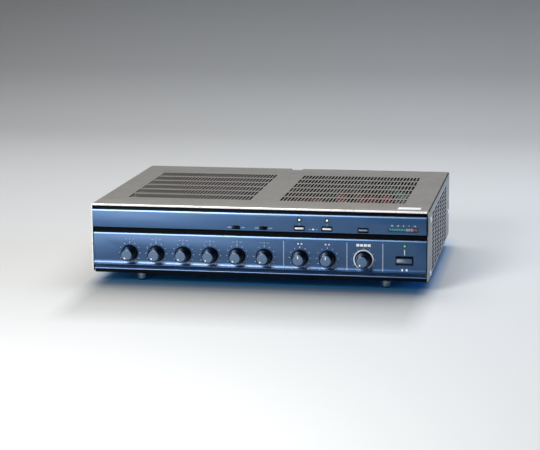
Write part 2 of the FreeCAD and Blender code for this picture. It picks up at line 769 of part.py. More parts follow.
def make_push_buttons():
    switches = []
    face = "(-sizes.upper_proud - sizes.button_proud)"
    half = "(sizes.button_height / 2)"
    section = ((face, "-" + half), ("sizes.button_root", "-" + half), ("sizes.button_root", half),
               (face + " + sizes.button_lip", half), (face, half + " - sizes.button_lip"))
    for label, column in BUTTON_COLUMNS:
        x = control_column(column)
        make_button(label, x, "sizes.upper_axis", "sizes.button_width", section,
                    "sizes.button_root", "sizes.stem_size", "sizes.stem_end")
        switches.append(make_switch(
            label + "_switch", x, "sizes.upper_axis", "sizes.switch_width",
            "sizes.switch_height", "sizes.switch_front", "sizes.upper_board",
            "(sizes.stem_size + 2 * sizes.stem_play)", "(sizes.stem_size + 2 * sizes.stem_play)",
            "sizes.switch_recess"))
    keep(group("push_switches", switches))


def make_power_button():
    half = "(sizes.power_height / 2)"
    section = (("-sizes.power_lower_edge", "-" + half), ("sizes.power_root", "-" + half),
               ("sizes.power_root", half), ("-sizes.power_upper_edge", half),
               ("-sizes.power_ridge", "sizes.power_ridge_rise"))
    make_button("power", "sizes.power_column", "sizes.knob_axis", "sizes.power_width", section,
                "sizes.power_root", "sizes.power_stem", "sizes.power_stem_end")
    recess = "(sizes.power_stem + 2 * sizes.stem_play)"
    keep(make_switch("power_switch", "sizes.power_column", "sizes.knob_axis",
                     "sizes.power_switch_width", "sizes.power_switch_height", FRAME_BACK,
                     "sizes.power_switch_back", recess, recess, "sizes.power_recess"))


# Slide switches: a small slider that moves across in its window, over a switch housing

def make_slide_switches():
    switches = []
    for label, column in SLIDE_COLUMNS:
        x = control_column(column)
        tip = "(-sizes.upper_proud - sizes.slider_proud)"
        left_stop = "(%s - sizes.slider_stroke / 2)" % x
        keep(box(label + "_slider", left_stop, tip, "sizes.upper_axis - sizes.slider_height / 2",
                 "sizes.slider_width", "sizes.switch_front + sizes.slider_depth - %s" % tip,
                 "sizes.slider_height"))
        switches.append(make_switch(
            label + "_switch", x, "sizes.upper_axis", "sizes.slide_switch_width",
            "sizes.slide_switch_height", "sizes.switch_front", "sizes.upper_board",
            "(sizes.slider_window + 2 * sizes.stem_play)",
            "(sizes.slider_height + 2 * sizes.stem_play)", "1.5 * sizes.slider_depth"))
    keep(group("slide_switches", switches))


# Lamps and level meter

def make_lamps_and_meter():
    lamps = []
    for label, column in BUTTON_COLUMNS[:2]:
        lamps.append(rod(label + "_lamp", LAMP_SIDES, "sizes.lamp_radius", control_column(column),
                         "-sizes.upper_proud - sizes.lamp_proud", "sizes.lamp_axis",
                         "sizes.upper_board + sizes.upper_proud + sizes.lamp_proud"))
    keep(group("speaker_lamps", lamps))
    keep(rod("power_lamp", LAMP_SIDES, "sizes.lamp_radius", "sizes.power_column",
             "-sizes.lamp_proud", "sizes.power_lamp_axis",
             "sizes.pot_back + sizes.lamp_proud"))
    face = "(-sizes.upper_proud + sizes.meter_sunk)"
    keep(box("level_meter", "sizes.meter_column", face,
             "sizes.meter_axis - sizes.meter_height / 2", "sizes.meter_width",
             "sizes.upper_board - %s" % face, "sizes.meter_height"))


# Circuit boards: one behind each fascia and the main board on posts over the chassis

CONTROL_BOARD = (("-182", "24"), ("160", "24"), ("160", "53"), ("202", "53"), ("202", "65"),
                 ("-182", "65"))
SWITCH_BOARD_X, SWITCH_BOARD_Z, SWITCH_BOARD_WIDTH, SWITCH_BOARD_HEIGHT = "80", "71", "244", "24"
MAIN_BOARD_X, MAIN_BOARD_Z = "104", "27"
MAIN_BOARD_WIDTH, MAIN_BOARD_DEPTH, MAIN_BOARD_FRONT = "176", "150", "76"
MAIN_POST_X, MAIN_POST_Y = ("22", "186"), ("82", "220")
CONTROL_POST_X, CONTROL_POST_Z = ("-156", "200"), "61"
SWITCH_POST_X, SWITCH_POST_Z = ("-36", "196"), "92.6"


def make_boards():
    body = keep(new_body("control_board"))
    plate = new_sketch(body, "control_plate", "XZ_Plane", out="-sizes.pot_back")
    outline(plate, CONTROL_BOARD)
    pad(body, plate, "sizes.board_sheet", back=True)
    keep(box("switch_board", SWITCH_BOARD_X, "sizes.upper_board", SWITCH_BOARD_Z,
             SWITCH_BOARD_WIDTH, "sizes.board_sheet", SWITCH_BOARD_HEIGHT))
    keep(box("main_board", MAIN_BOARD_X, MAIN_BOARD_FRONT, MAIN_BOARD_Z, MAIN_BOARD_WIDTH,
             MAIN_BOARD_DEPTH, "sizes.board_sheet"))
    posts = []
    for side in (0, 1):
        for row, y in enumerate(MAIN_POST_Y):
            posts.append(rod("main_post_%d_%d" % (side, row), 4, "sizes.post_radius",
                             MAIN_POST_X[side], y, CHASSIS_TOP,
                             "%s - %s" % (MAIN_BOARD_Z, CHASSIS_TOP), upright=True))
        posts.append(rod("control_post_%d" % side, 4, "sizes.spacer_radius",
                         CONTROL_POST_X[side], FRAME_BACK, CONTROL_POST_Z,
                         "sizes.pot_back - %s" % FRAME_BACK))
        posts.append(rod("switch_post_%d" % side, 4, "sizes.spacer_radius",
                         SWITCH_POST_X[side], FRAME_BACK, SWITCH_POST_Z,
                         "sizes.upper_board - %s" % FRAME_BACK))
    keep(group("board_posts", posts))


# Power supply and output stage inside the housing, all standing on the chassis or the main board

TRANSFORMERS = (
    # label, X of its middle, front, width, depth, height
    ("power_transformer", "-128", "128", "92", "52", "70"),
    ("output_transformer", "-42", "176", "70", "44", "56"),
)
COIL_WIDTH, COIL_HEIGHT, COIL_FLOOR = "0.62", "0.56", "0.22"
SINK_X, SINK_FRONT, SINK_WIDTH, SINK_DEPTH, SINK_HEIGHT, FINS = "100", "246", "160", "30", "62", 6
TRANSISTOR_X, TRANSISTOR_Z = (40, 80, 120, 160), "40"
CAPACITOR_X, CAPACITOR_Y = (40, 72), "196"
RELAY_X, RELAY_FRONT, RELAY_SIZE = "134", "96", ("20", "24", "26")
DRIVE_X, DRIVE_FRONT, DRIVE_SIZE = "95", "108", ("22", "20", "24")
CONNECTOR_X, CONNECTOR_Y, CONNECTOR_SIZE = (34, 100, 166), "80", ("18", "6", "9")


def make_transformer(label, x, y, wide, deep, tall):
    """An iron core standing on the chassis, with the winding bulging out before and behind it."""
    keep(box(label + "_core", x, y, CHASSIS_TOP, wide, deep, tall))
    bulge = "sizes.transformer_bulge"
    coil_width, coil_height = "%s * %s" % (wide, COIL_WIDTH), "%s * %s" % (tall, COIL_HEIGHT)
    floor = "%s + %s * %s" % (CHASSIS_TOP, tall, COIL_FLOOR)
    keep(group(label + "_winding", [
        box(label + "_coil_front", x, "%s - %s" % (y, bulge), floor, coil_width, bulge,
            coil_height),
        box(label + "_coil_back", x, "%s + %s" % (y, deep), floor, coil_width, bulge,
            coil_height)]))


def make_heat_sink():
    """An extruded comb: a back plate with upright fins towards the front."""
    body = keep(new_body("heat_sink"))
    block = new_sketch(body, "sink_block", "XY_Plane", out=CHASSIS_TOP)
    rectangle(block, SINK_WIDTH, SINK_DEPTH, SINK_X, "%s + %s / 2" % (SINK_FRONT, SINK_DEPTH))
    pad(body, block, SINK_HEIGHT)
    pitch = "((%s - sizes.fin) / %d)" % (SINK_WIDTH, FINS)
    first_gap = "%s - (%s - sizes.fin) / 2 + %s / 2" % (SINK_X, SINK_WIDTH, pitch)
    gap = new_sketch(body, "fin_gap", "XY_Plane", out="%s + %s" % (CHASSIS_TOP, SINK_HEIGHT),
                     across=first_gap, up=SINK_FRONT)
    rectangle(gap, "(%s - sizes.fin)" % pitch, "2 * (%s - sizes.sink_plate)" % SINK_DEPTH)
    gap_cut = pocket(body, gap)
    repeat(body, gap_cut, gap, ("H_Axis", pitch, FINS))


def make_inside():
    for label, x, y, wide, deep, tall in TRANSFORMERS:
        make_transformer(label, x, y, wide, deep, tall)
    make_heat_sink()
    keep(group("output_transistors", [
        box("transistor_%d" % x, "%d" % x, "%s + %s" % (SINK_FRONT, SINK_DEPTH), TRANSISTOR_Z,
            "sizes.transistor_width", "sizes.transistor_depth", "sizes.transistor_height")
        for x in TRANSISTOR_X]))
    board_top = "(%s + sizes.board_sheet)" % MAIN_BOARD_Z
    keep(group("reservoir_capacitors", [
        rod("capacitor_%d" % x, 10, "sizes.capacitor_radius", "%d" % x, CAPACITOR_Y, board_top,
            "sizes.capacitor_height", upright=True)
        for x in CAPACITOR_X]))
    keep(box("speaker_relay", RELAY_X, RELAY_FRONT, board_top, *RELAY_SIZE))
    keep(box("drive_transformer", DRIVE_X, DRIVE_FRONT, board_top, *DRIVE_SIZE))
    keep(group("board_connectors", [
        box("connector_%d" % x, "%d" % x, CONNECTOR_Y, board_top, *CONNECTOR_SIZE)
        for x in CONNECTOR_X]))


# Screws that hold the cover to the chassis and the rear panel

SCREW_PLACES = (("24", "92"), ("24", "23"), ("287", "51"))


def make_cover_screws():
    screws = []
    for side in (-1, 1):
        for number, (y, z) in enumerate(SCREW_PLACES):
            screw = rod("screw_%d_%d" % (side, number), 6, "sizes.screw_radius", "0", y, z,
                        "sizes.screw_head", upright=True)
            screw.Placement = Placement(Vector(), Rotation(Vector(0, 1, 0), 90 * side))
            set_place(screw, "%d * sizes.body_width / 2" % side, y, z)
            screws.append(screw)
    keep(group("cover_screws", screws))


for make in (make_top_cover, make_chassis, make_rear_panel, make_rear_terminals, make_front_frame,
             make_lower_fascia, make_upper_fascia, make_rotary_controls, make_push_buttons,
             make_power_button, make_slide_switches, make_lamps_and_meter, make_boards,
             make_inside, make_cover_screws):
    make()
    doc.recompute()

failed = [item.Label for item in doc.Objects if {"Invalid", "Error"} & set(item.State)]
for piece in pieces:
    if piece.Shape.isNull() or not piece.Shape.isValid() or not piece.Shape.Solids:
        failed.append(piece.Label)
if failed:
    raise RuntimeError("these did not build: " + ", ".join(failed))

for piece in pieces:
    piece.Shape.exportStep(os.path.join("parts", piece.Label + ".step"))
print(len(pieces), "sub-parts written")
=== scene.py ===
import math

import bmesh
import bpy
from mathutils import Matrix, Vector


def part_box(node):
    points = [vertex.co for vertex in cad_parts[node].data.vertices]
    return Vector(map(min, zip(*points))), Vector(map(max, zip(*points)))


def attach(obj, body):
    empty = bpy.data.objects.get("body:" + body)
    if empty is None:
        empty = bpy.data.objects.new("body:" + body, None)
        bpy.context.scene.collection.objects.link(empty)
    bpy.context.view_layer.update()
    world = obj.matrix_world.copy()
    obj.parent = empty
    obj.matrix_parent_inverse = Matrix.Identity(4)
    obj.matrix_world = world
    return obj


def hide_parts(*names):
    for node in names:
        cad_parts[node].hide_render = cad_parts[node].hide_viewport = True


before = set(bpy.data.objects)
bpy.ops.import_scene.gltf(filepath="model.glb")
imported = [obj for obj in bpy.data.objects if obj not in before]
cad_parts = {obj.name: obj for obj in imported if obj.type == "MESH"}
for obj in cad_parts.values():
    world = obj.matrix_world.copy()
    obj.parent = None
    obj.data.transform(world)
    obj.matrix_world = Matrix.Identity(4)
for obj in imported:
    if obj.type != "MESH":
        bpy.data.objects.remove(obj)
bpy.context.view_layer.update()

# Camera and light. A photographer's long lens looks slightly down on the amplifier from the right.
# Softboxes overhead and at the left make the front fade from a light blue at its left end to a deep
# blue at its right end. Two more fill the sides, and the one at the right is blue.

CAMERA_PLACE = Vector((0.3929, -2.2461, 0.4823))
CAMERA_AZIMUTH, CAMERA_ELEVATION = math.radians(10.22), math.radians(10.7)
CAMERA_ROLL, FOCAL_LENGTH = math.radians(-0.352), 118.05
SKY_COLOR, SKY_STRENGTH = (0.62, 0.8, 1, 1), 0.02

bpy.ops.object.camera_add()
camera = bpy.context.object
camera.name = "camera"
camera.data.lens = FOCAL_LENGTH
camera.matrix_world = (Matrix.Translation(CAMERA_PLACE) @ Matrix.Rotation(CAMERA_AZIMUTH, 4, "Z")
                       @ Matrix.Rotation(math.pi / 2 - CAMERA_ELEVATION, 4, "X")
                       @ Matrix.Rotation(CAMERA_ROLL, 4, "Z"))
bpy.context.scene.camera = camera


def softbox(name, place, aim, wide, high, power, tint=(1, 1, 1)):
    """A rectangular soft light at a place, turned towards a point."""
    bpy.ops.object.light_add(type="AREA", location=place)
    light = bpy.context.object
    light.name = name
    light.data.shape = "RECTANGLE"
    light.data.size, light.data.size_y = wide, high
    light.data.energy = power
    light.data.color = tint
    light.rotation_euler = (Vector(aim) - Vector(place)).to_track_quat("-Z", "Y").to_euler()


softbox("rear_softbox", (0, 0.55, 1.5), (0, 0, 0.1), wide=2.2, high=1.3, power=19)
softbox("overhead_softbox", (0.3, 0.1, 1.6), (0, 0, 0.1), wide=1.8, high=1.2, power=7)
softbox("front_softbox", (-0.4, -1.3, 0.7), (0, -0.15, 0.1), wide=0.5, high=0.4, power=14)
softbox("low_softbox", (-0.38, -1.3, 0.28), (-0.1, -0.15, 0.1), wide=0.4, high=0.45, power=2.7)
softbox("right_fill", (1.7, 0.35, 0.5), (0.2, 0.1, 0.05), wide=0.9, high=0.9, power=12,
        tint=(0.24, 0.52, 1))
softbox("left_fill", (-1.7, 0.6, 0.6), (-0.2, 0.1, 0.05), wide=0.9, high=0.9, power=2.5)
bpy.context.scene.view_settings.view_transform = "Standard"

world = bpy.data.worlds.new("studio")
bpy.context.scene.world = world
world.use_nodes = True
sky = world.node_tree.nodes["Background"]
sky.inputs["Color"].default_value = SKY_COLOR
sky.inputs["Strength"].default_value = SKY_STRENGTH

# Studio sweep. A sheet of pale paper lies under the amplifier and rises in a wide curve behind it,
# darker towards its top, with a painted contact shadow in front of the amplifier that turns blue
# under it. It isn't part of the object. A camera behind the paper or under it looks through it.

MM = 0.001
FLOOR_FRONT, FLOOR_BACK, FLOOR_HALF_WIDTH = -9000, 1400, 7000
SWEEP_HEIGHT, SWEEP_RADIUS = 2600, 800
SHADE_REACH, SHADE_SIDE, SHADE_END = 0.36, 0.194, 0.222
cover_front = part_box("top_cover")[0].y


def spot(x, y, z):
    """A place given in mm, with y counted back from the plane of the cover's front edge."""
    return Vector((x * MM, cover_front + y * MM, z * MM))


def in_mm(place):
    return Vector((place.x / MM, (place.y - cover_front) / MM, place.z / MM))


def at(number, target, slack=0.01):
    return abs(number - target) < slack


def leave_edit():
    if bpy.context.mode != "OBJECT":
        bpy.ops.object.mode_set(mode="OBJECT")


def select_nothing():
    leave_edit()
    bpy.ops.object.select_all(action="DESELECT")


def only(piece):
    """Makes one piece the only selected one."""
    select_nothing()
    piece.select_set(True)
    bpy.context.view_layer.objects.active = piece


def edit(piece):
    only(piece)
    bpy.ops.object.mode_set(mode="EDIT")


def close_edit(merge=0.002):
    """Leaves edit mode, if it is on, with points closer than merge mm joined and faces outwards."""
    if bpy.context.mode != "OBJECT":
        bpy.ops.mesh.select_all(action="SELECT")
        bpy.ops.mesh.remove_doubles(threshold=merge * MM)
        bpy.ops.mesh.normals_make_consistent(inside=False)
        bpy.ops.object.mode_set(mode="OBJECT")


def pick(kind, test):
    """In edit mode, selects the vertices, edges or faces whose middle, in mm, passes a test."""
    mesh = bmesh.from_edit_mesh(bpy.context.object.data)
    bpy.ops.mesh.select_mode(type=kind)
    bpy.ops.mesh.select_all(action="DESELECT")
    for item in {"VERT": mesh.verts, "EDGE": mesh.edges, "FACE": mesh.faces}[kind]:
        if kind == "VERT":
            middle = item.co
        elif kind == "EDGE":
            middle = (item.verts[0].co + item.verts[1].co) / 2
        else:
            middle = item.calc_center_median()
        if test(in_mm(middle), item):
            item.select_set(True)
    mesh.select_flush_mode()
    bmesh.update_edit_mesh(bpy.context.object.data)


def push(x, y, z):
    """Extrudes what is selected, by mm."""
    bpy.ops.mesh.extrude_region_move(TRANSFORM_OT_translate={"value": (x * MM, y * MM, z * MM)})


def move(x, y, z):
    bpy.ops.transform.translate(value=(x * MM, y * MM, z * MM))


def stretch(x, y, z, about):
    bpy.ops.transform.resize(value=(x, y, z), center_override=about)


def stock(name, add_primitive, low, high):
    """A primitive stretched between two corners in mm, left open in edit mode."""
    select_nothing()
    add_primitive(size=1)
    piece = bpy.context.object
    piece.name = piece.data.name = name
    bpy.ops.object.mode_set(mode="EDIT")
    stretch(*[(b - a) * MM or 1 for a, b in zip(low, high)], (0, 0, 0))
    bpy.ops.transform.translate(value=(spot(*low) + spot(*high)) / 2)
    return piece


def flat_sheet(name, low, high):
    """A rectangle between two corners of one height, left open in edit mode."""
    return stock(name, bpy.ops.mesh.primitive_plane_add, low, high)


def srgb(red, green, blue):
    """A colour as it is read off a screen, from 0 to 255, as the linear values a shader takes."""
    shares = (channel / 255 for channel in (red, green, blue))
    return tuple(s / 12.92 if s <= 0.04045 else ((s + 0.055) / 1.055) ** 2.4 for s in shares)


def feed(finish, name, value):
    """Gives one of the shader's sockets a constant, or the output of another node."""
    socket = finish.node_tree.nodes["Principled BSDF"].inputs[name]
    if isinstance(value, bpy.types.NodeSocket):
        finish.node_tree.links.new(value, socket)
    else:
        socket.default_value = value


def new_finish(name, color, roughness, metallic=0.0):
    """A material whose constants sit on its shader's own sockets."""
    finish = bpy.data.materials.new(name)
    finish.use_nodes = True
    feed(finish, "Base Color", (*srgb(*color), 1))
    feed(finish, "Roughness", roughness)
    feed(finish, "Metallic", metallic)
    return finish


def add_node(finish, kind, **settings):
    """A node in a material or group, with its settings."""
    node = getattr(finish, "node_tree", finish).nodes.new("ShaderNode" + kind)
    for name, setting in settings.items():
        setattr(node, name, setting)
    return node


def link(finish, start, end):
    getattr(finish, "node_tree", finish).links.new(start, end)


def ramp(finish, value, *stops):
    """A colour that follows a value through (position, colour) stops."""
    node = add_node(finish, "ValToRGB")
    elements = node.color_ramp.elements
    while len(elements) < len(stops):
        elements.new(1)
    for element, (position, color) in zip(elements, stops):
        element.position = position
        element.color = (*srgb(*color), 1)
    link(finish, value, node.inputs["Fac"])
    return node.outputs["Color"]


def spread(finish, value, low, high, start=0.0, end=1.0):
    """A value's way from low to high, carried over to start and end."""
    node = add_node(finish, "MapRange")
    for socket, number in zip(("From Min", "From Max", "To Min", "To Max"), (low, high, start, end)):
        node.inputs[socket].default_value = number
    link(finish, value, node.inputs["Value"])
    return node.outputs["Result"]


def object_axis(finish, axis):
    """One Object coordinate, in metres."""
    split = add_node(finish, "SeparateXYZ")
    link(finish, add_node(finish, "TexCoord").outputs["Object"], split.inputs[0])
    return split.outputs[axis]


sweep = flat_sheet("paper_sweep", (-FLOOR_HALF_WIDTH, FLOOR_FRONT, 0), (FLOOR_HALF_WIDTH, FLOOR_BACK, 0))
pick("EDGE", lambda p, edge: at(p.y, FLOOR_BACK))
bpy.ops.mesh.spin(steps=24, angle=math.pi / 2, center=spot(0, FLOOR_BACK, SWEEP_RADIUS), axis=(-1, 0, 0))
push(0, 0, SWEEP_HEIGHT - SWEEP_RADIUS)
leave_edit()
bpy.ops.object.shade_smooth()
paper = new_finish("studio_paper", (226, 226, 224), 0.9)
paper_color = ramp(paper, spread(paper, object_axis(paper, "Z"), 0, SWEEP_HEIGHT * MM),
                   (0, (222, 222, 220)), (0.035, (184, 184, 183)), (0.15, (116, 116, 116)))
# Painted contact shadow: darker just in front of the amplifier, painted blue under it, faded out at its
# sides.
painted_contact_shadow = ramp(paper, spread(paper, object_axis(paper, "Y"), -SHADE_REACH, SHADE_REACH),
               (0, (255, 255, 255)), (0.1, (226, 226, 225)), (0.19, (212, 211, 208)),
               (0.25, (200, 203, 206)), (0.275, (177, 188, 200)), (0.29, (127, 149, 178)),
               (0.31, (60, 124, 172)), (0.35, (20, 166, 250)), (0.66, (20, 166, 250)),
               (0.8, (255, 255, 255)))
painted_shade_mix = add_node(paper, "MixRGB", blend_type="MULTIPLY")
beside = add_node(paper, "Math", operation="ABSOLUTE")
link(paper, object_axis(paper, "X"), beside.inputs[0])
link(paper, spread(paper, beside.outputs[0], SHADE_SIDE, SHADE_END, 1, 0), painted_shade_mix.inputs["Fac"])
link(paper, paper_color, painted_shade_mix.inputs["Color1"])
link(paper, painted_contact_shadow, painted_shade_mix.inputs["Color2"])
feed(paper, "Base Color", painted_shade_mix.outputs["Color"])
from_behind = add_node(paper, "Math", operation="MULTIPLY")
link(paper, add_node(paper, "NewGeometry").outputs["Backfacing"], from_behind.inputs[0])
link(paper, add_node(paper, "LightPath").outputs["Is Camera Ray"], from_behind.inputs[1])
one_sided = add_node(paper, "MixShader")
link(paper, from_behind.outputs[0], one_sided.inputs["Fac"])
link(paper, paper.node_tree.nodes["Principled BSDF"].outputs["BSDF"], one_sided.inputs[1])
link(paper, add_node(paper, "BsdfTransparent").outputs["BSDF"], one_sided.inputs[2])
link(paper, one_sided.outputs["Shader"], paper.node_tree.nodes["Material Output"].inputs["Surface"])
sweep.data.materials.append(paper)

# Bottom chassis. A tray of zinc-plated steel sheet with folded walls, which the cover closes over.
# The plating is dull and slightly streaked along the way the sheet was rolled.


def surface_grain():
    """The group that every finish reads: a fine grain, a slow drift of tone and a wear mask."""
    group = bpy.data.node_groups.new("surface_grain", "ShaderNodeTree")
    for name, kind in (("Scale", "NodeSocketFloat"), ("Stretch", "NodeSocketVector")):
        group.interface.new_socket(name, in_out="INPUT", socket_type=kind)
    for name in ("Grain", "Tone", "Wear"):
        group.interface.new_socket(name, in_out="OUTPUT", socket_type="NodeSocketFloat")
    start = group.nodes.new("NodeGroupInput")
    end = group.nodes.new("NodeGroupOutput")
    along = add_node(group, "VectorMath", operation="MULTIPLY")
    link(group, add_node(group, "TexCoord").outputs["Object"], along.inputs[0])
    link(group, start.outputs["Stretch"], along.inputs[1])
    outputs = []
    for share, detail in ((1, 4), (0.018, 5), (0.09, 8)):
        size = add_node(group, "Math", operation="MULTIPLY")
        link(group, start.outputs["Scale"], size.inputs[0])
        size.inputs[1].default_value = share
        noise = add_node(group, "TexNoise")
        noise.inputs["Detail"].default_value = detail
        link(group, along.outputs[0], noise.inputs["Vector"])
        link(group, size.outputs[0], noise.inputs["Scale"])
        outputs.append(noise.outputs["Fac"])
    grain, drift, wear = outputs
    tone = add_node(group, "Mix", data_type="FLOAT")
    tone.inputs["Factor"].default_value = 0.4
    link(group, drift, tone.inputs["A"])
    link(group, grain, tone.inputs["B"])
    link(group, grain, end.inputs["Grain"])
    link(group, tone.outputs["Result"], end.inputs["Tone"])
    link(group, wear, end.inputs["Wear"])
    return group


GRAIN = surface_grain()


def add_grain(finish, scale, stretched=(1, 1, 1)):
    node = add_node(finish, "Group")
    node.node_tree = GRAIN
    node.inputs["Scale"].default_value = scale
    node.inputs["Stretch"].default_value = stretched
    return node


def bump(finish, height, depth):
    """Raises the surface by a height map, by depth in mm at most."""
    node = add_node(finish, "Bump")
    node.inputs["Distance"].default_value = depth * MM
    link(finish, height, node.inputs["Height"])
    feed(finish, "Normal", node.outputs["Normal"])


def grained(name, dark, light, roughness, metallic=0.0, scale=900, depth=0.02, stretched=(1, 1, 1)):
    """A finish whose colour, gloss and surface vary with a fine grain and a slow drift."""
    finish = new_finish(name, light, roughness[0], metallic)
    grain = add_grain(finish, scale, stretched)
    feed(finish, "Base Color", ramp(finish, grain.outputs["Tone"], (0.36, dark), (0.62, light)))
    feed(finish, "Roughness", spread(finish, grain.outputs["Wear"], 0.35, 0.65, *roughness))
    bump(finish, grain.outputs["Grain"], depth)
    return finish


def coat(piece, finish):
    piece.data.materials.clear()
    piece.data.materials.append(finish)


def coat_nodes(finish, *nodes):
    """Gives the CAD's own pieces, where they are carried over, their finish."""
    for node in nodes:
        coat(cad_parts[node], finish)


zinc = grained("zinc_plate", (120, 124, 128), (158, 160, 160), (0.32, 0.5), 0.9, 700, 0.01, (1, 0.12, 1))
coat_nodes(zinc, "bottom_chassis")

# Feet. Four feet turned from aluminium bar, with a groove round them and a rubber sole. A screw
# through the tray's floor holds each one.

FOOT_X, FOOT_ROWS, SOLE_TALL = 155, (34, 272), 2
FOOT_OUTLINE = ((0, 5.2), (0, 5.9), (0.5, 6.4), (6.6, 6.4), (7, 6), (7.6, 6), (8, 6.4), (11.4, 6.4),
                (12, 5.8))
SOLE_OUTLINE = ((0, 4.6), (0.5, 5.1), (SOLE_TALL, 5.1), (SOLE_TALL, 4))
ACROSS = {"X": (0, math.pi / 2, 0), "-X": (0, -math.pi / 2, 0), "Y": (-math.pi / 2, 0, 0),
          "-Y": (math.pi / 2, 0, 0), "Z": (0, 0, 0)}


def axis_of(way):
    """The direction that a word such as "-Y" stands for."""
    return Vector([(-1 if way[0] == "-" else 1) * (letter == way[-1]) for letter in "XYZ"])


def turned(name, place, way, outline, sides=36):
    """A piece turned round an axis from a place, through (distance, radius) stations in mm. It
    is left open in edit mode."""
    select_nothing()
    axis = axis_of(way)
    here, radius = outline[0]
    bpy.ops.mesh.primitive_circle_add(vertices=sides, radius=radius * MM, fill_type="NGON",
                                      location=spot(*place) + axis * here * MM,
                                      rotation=ACROSS[way])
    piece = bpy.context.object
    piece.name = piece.data.name = name
    bpy.ops.object.transform_apply(location=True, rotation=True, scale=True)
    bpy.ops.object.mode_set(mode="EDIT")
    for distance, after in outline[1:]:
        push(*(axis * (distance - here)))
        ratio = after / radius
        stretch(*[1 if part else ratio for part in axis], spot(*place) + axis * distance * MM)
        here, radius = distance, after
    return piece


def fit(piece, finish, body="housing", replaces=(), smooth=35):
    """Closes a piece, gives it its finish, and says what carries it and what it stands for."""
    close_edit()
    only(piece)
    bpy.ops.object.shade_smooth_by_angle(angle=math.radians(smooth))
    coat(piece, finish)
    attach(piece, body)
    if replaces:
        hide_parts(*replaces)
    return piece


def copy_of(piece, name, place):
    """A copy with a mesh of its own, moved by a place in mm."""
    only(piece)
    bpy.ops.object.duplicate(linked=False)
    twin = bpy.context.object
    twin.name = twin.data.name = name
    move(*place)
    bpy.ops.object.transform_apply(location=True, rotation=False, scale=False)
    return twin


def copies(piece, places):
    """Copies of a piece, each moved by a place in mm. The piece they were made from is removed."""
    close_edit()
    made = [copy_of(piece, piece.name, place) for place in places]
    bpy.data.objects.remove(piece)
    return made


def joined(name, pieces):
    """Like pieces as one object of separate shells."""
    only(pieces[0])
    for piece in pieces[1:]:
        piece.select_set(True)
    if len(pieces) > 1:
        bpy.ops.object.join()
    piece = bpy.context.object
    piece.name = piece.data.name = name
    return piece


foot_alloy = grained("turned_foot", (190, 192, 196), (232, 233, 235), (0.08, 0.16), 1.0, 1600, 0.004,
                     (1, 1, 0.05))
rubber = grained("sole_rubber", (18, 18, 19), (34, 34, 35), (0.7, 0.85), 0.0, 900, 0.05)
foot_places = [(x, y, 0) for x in (-FOOT_X, FOOT_X) for y in FOOT_ROWS]
feet = copies(turned("foot", (0, 0, SOLE_TALL), "Z", FOOT_OUTLINE), foot_places)
fit(joined("turned_feet", feet), foot_alloy, replaces=("feet",))
fit(joined("foot_soles", copies(turned("sole", (0, 0, 0), "Z", SOLE_OUTLINE), foot_places)), rubber)

# Rear panel. One steel sheet, painted dark grey, with a flange under the cover's rear edge, and
# punched for the terminals.

panel_paint = grained("panel_paint", (58, 60, 63), (76, 78, 80), (0.42, 0.55), 0.0, 1500, 0.015)
coat_nodes(panel_paint, "rear_panel")

# Speaker and input terminals. Two barrier strips moulded in black plastic. In each channel a
# tinned brass plate lies on the floor and a plated screw with a cross slot clamps the wire on it.

STRIPS = (("speaker", -70, 84, 5), ("input", 60, 112, 6))
STRIP_Z, STRIP_WALL, CHANNEL_FLOOR = 44, 2.4, 317
PLATE_GAP, PLATE_TALL, PLATE_THICK = 0.6, 13, 0.9


def dulled(finish, specular):
    """Takes the sheen off a dark finish."""
    feed(finish, "Specular IOR Level", specular)
    return finish


def block(name, low, high):
    """A box between two corners, left open in edit mode for shaping."""
    return stock(name, bpy.ops.mesh.primitive_cube_add, low, high)


def panel(name, x, z, size, front, back):
    """A block of a width and height, centred on x, z, between two depths."""
    wide, tall = size
    return block(name, (x - wide / 2, front, z - tall / 2), (x + wide / 2, back, z + tall / 2))


def shaped_by(piece, kind, **settings):
    """Puts a piece through one modifier, which is applied."""
    close_edit()
    only(piece)
    bpy.ops.object.modifier_add(type=kind)
    modifier = piece.modifiers[-1]
    for name, setting in settings.items():
        setattr(modifier, name, setting)
    bpy.ops.object.modifier_apply(modifier=modifier.name)
    return piece


def rounded(piece, size, segments=2):
    """Breaks a piece's sharp edges by a size in mm."""
    return shaped_by(piece, "BEVEL", width=size * MM, segments=segments, limit_method="ANGLE")


def cut_away(piece, cutters):
    """Cuts closed cutters out of a closed piece."""
    cutter = joined("cutter", cutters)
    shaped_by(piece, "BOOLEAN", object=cutter, operation="DIFFERENCE", solver="EXACT", use_self=True)
    bpy.data.objects.remove(cutter)
    return piece


def cross_screw(name, place, way, radius, height):
    """A pan-head screw with a cross slot."""
    head = turned(name, place, way, (
        (-1, radius * 0.5), (0, radius * 0.5), (0, radius), (height * 0.45, radius),
        (height * 0.8, radius * 0.8), (height, radius * 0.45)), sides=24)
    close_edit()
    reach, half, deep = radius * 0.55, radius * 0.11, height * 0.6
    axis = axis_of(way)
    aside = Vector((axis.y, axis.z, axis.x))
    middle = Vector(place) + axis * (height + (1 - deep) / 2)
    slots = []
    for along, thin in ((aside, axis.cross(aside)), (axis.cross(aside), aside)):
        size = Vector([abs(part) for part in axis * (deep + 1) / 2 + along * reach + thin * half])
        slots.append(block("slot", middle - size, middle + size))
        close_edit()
    return cut_away(head, slots)


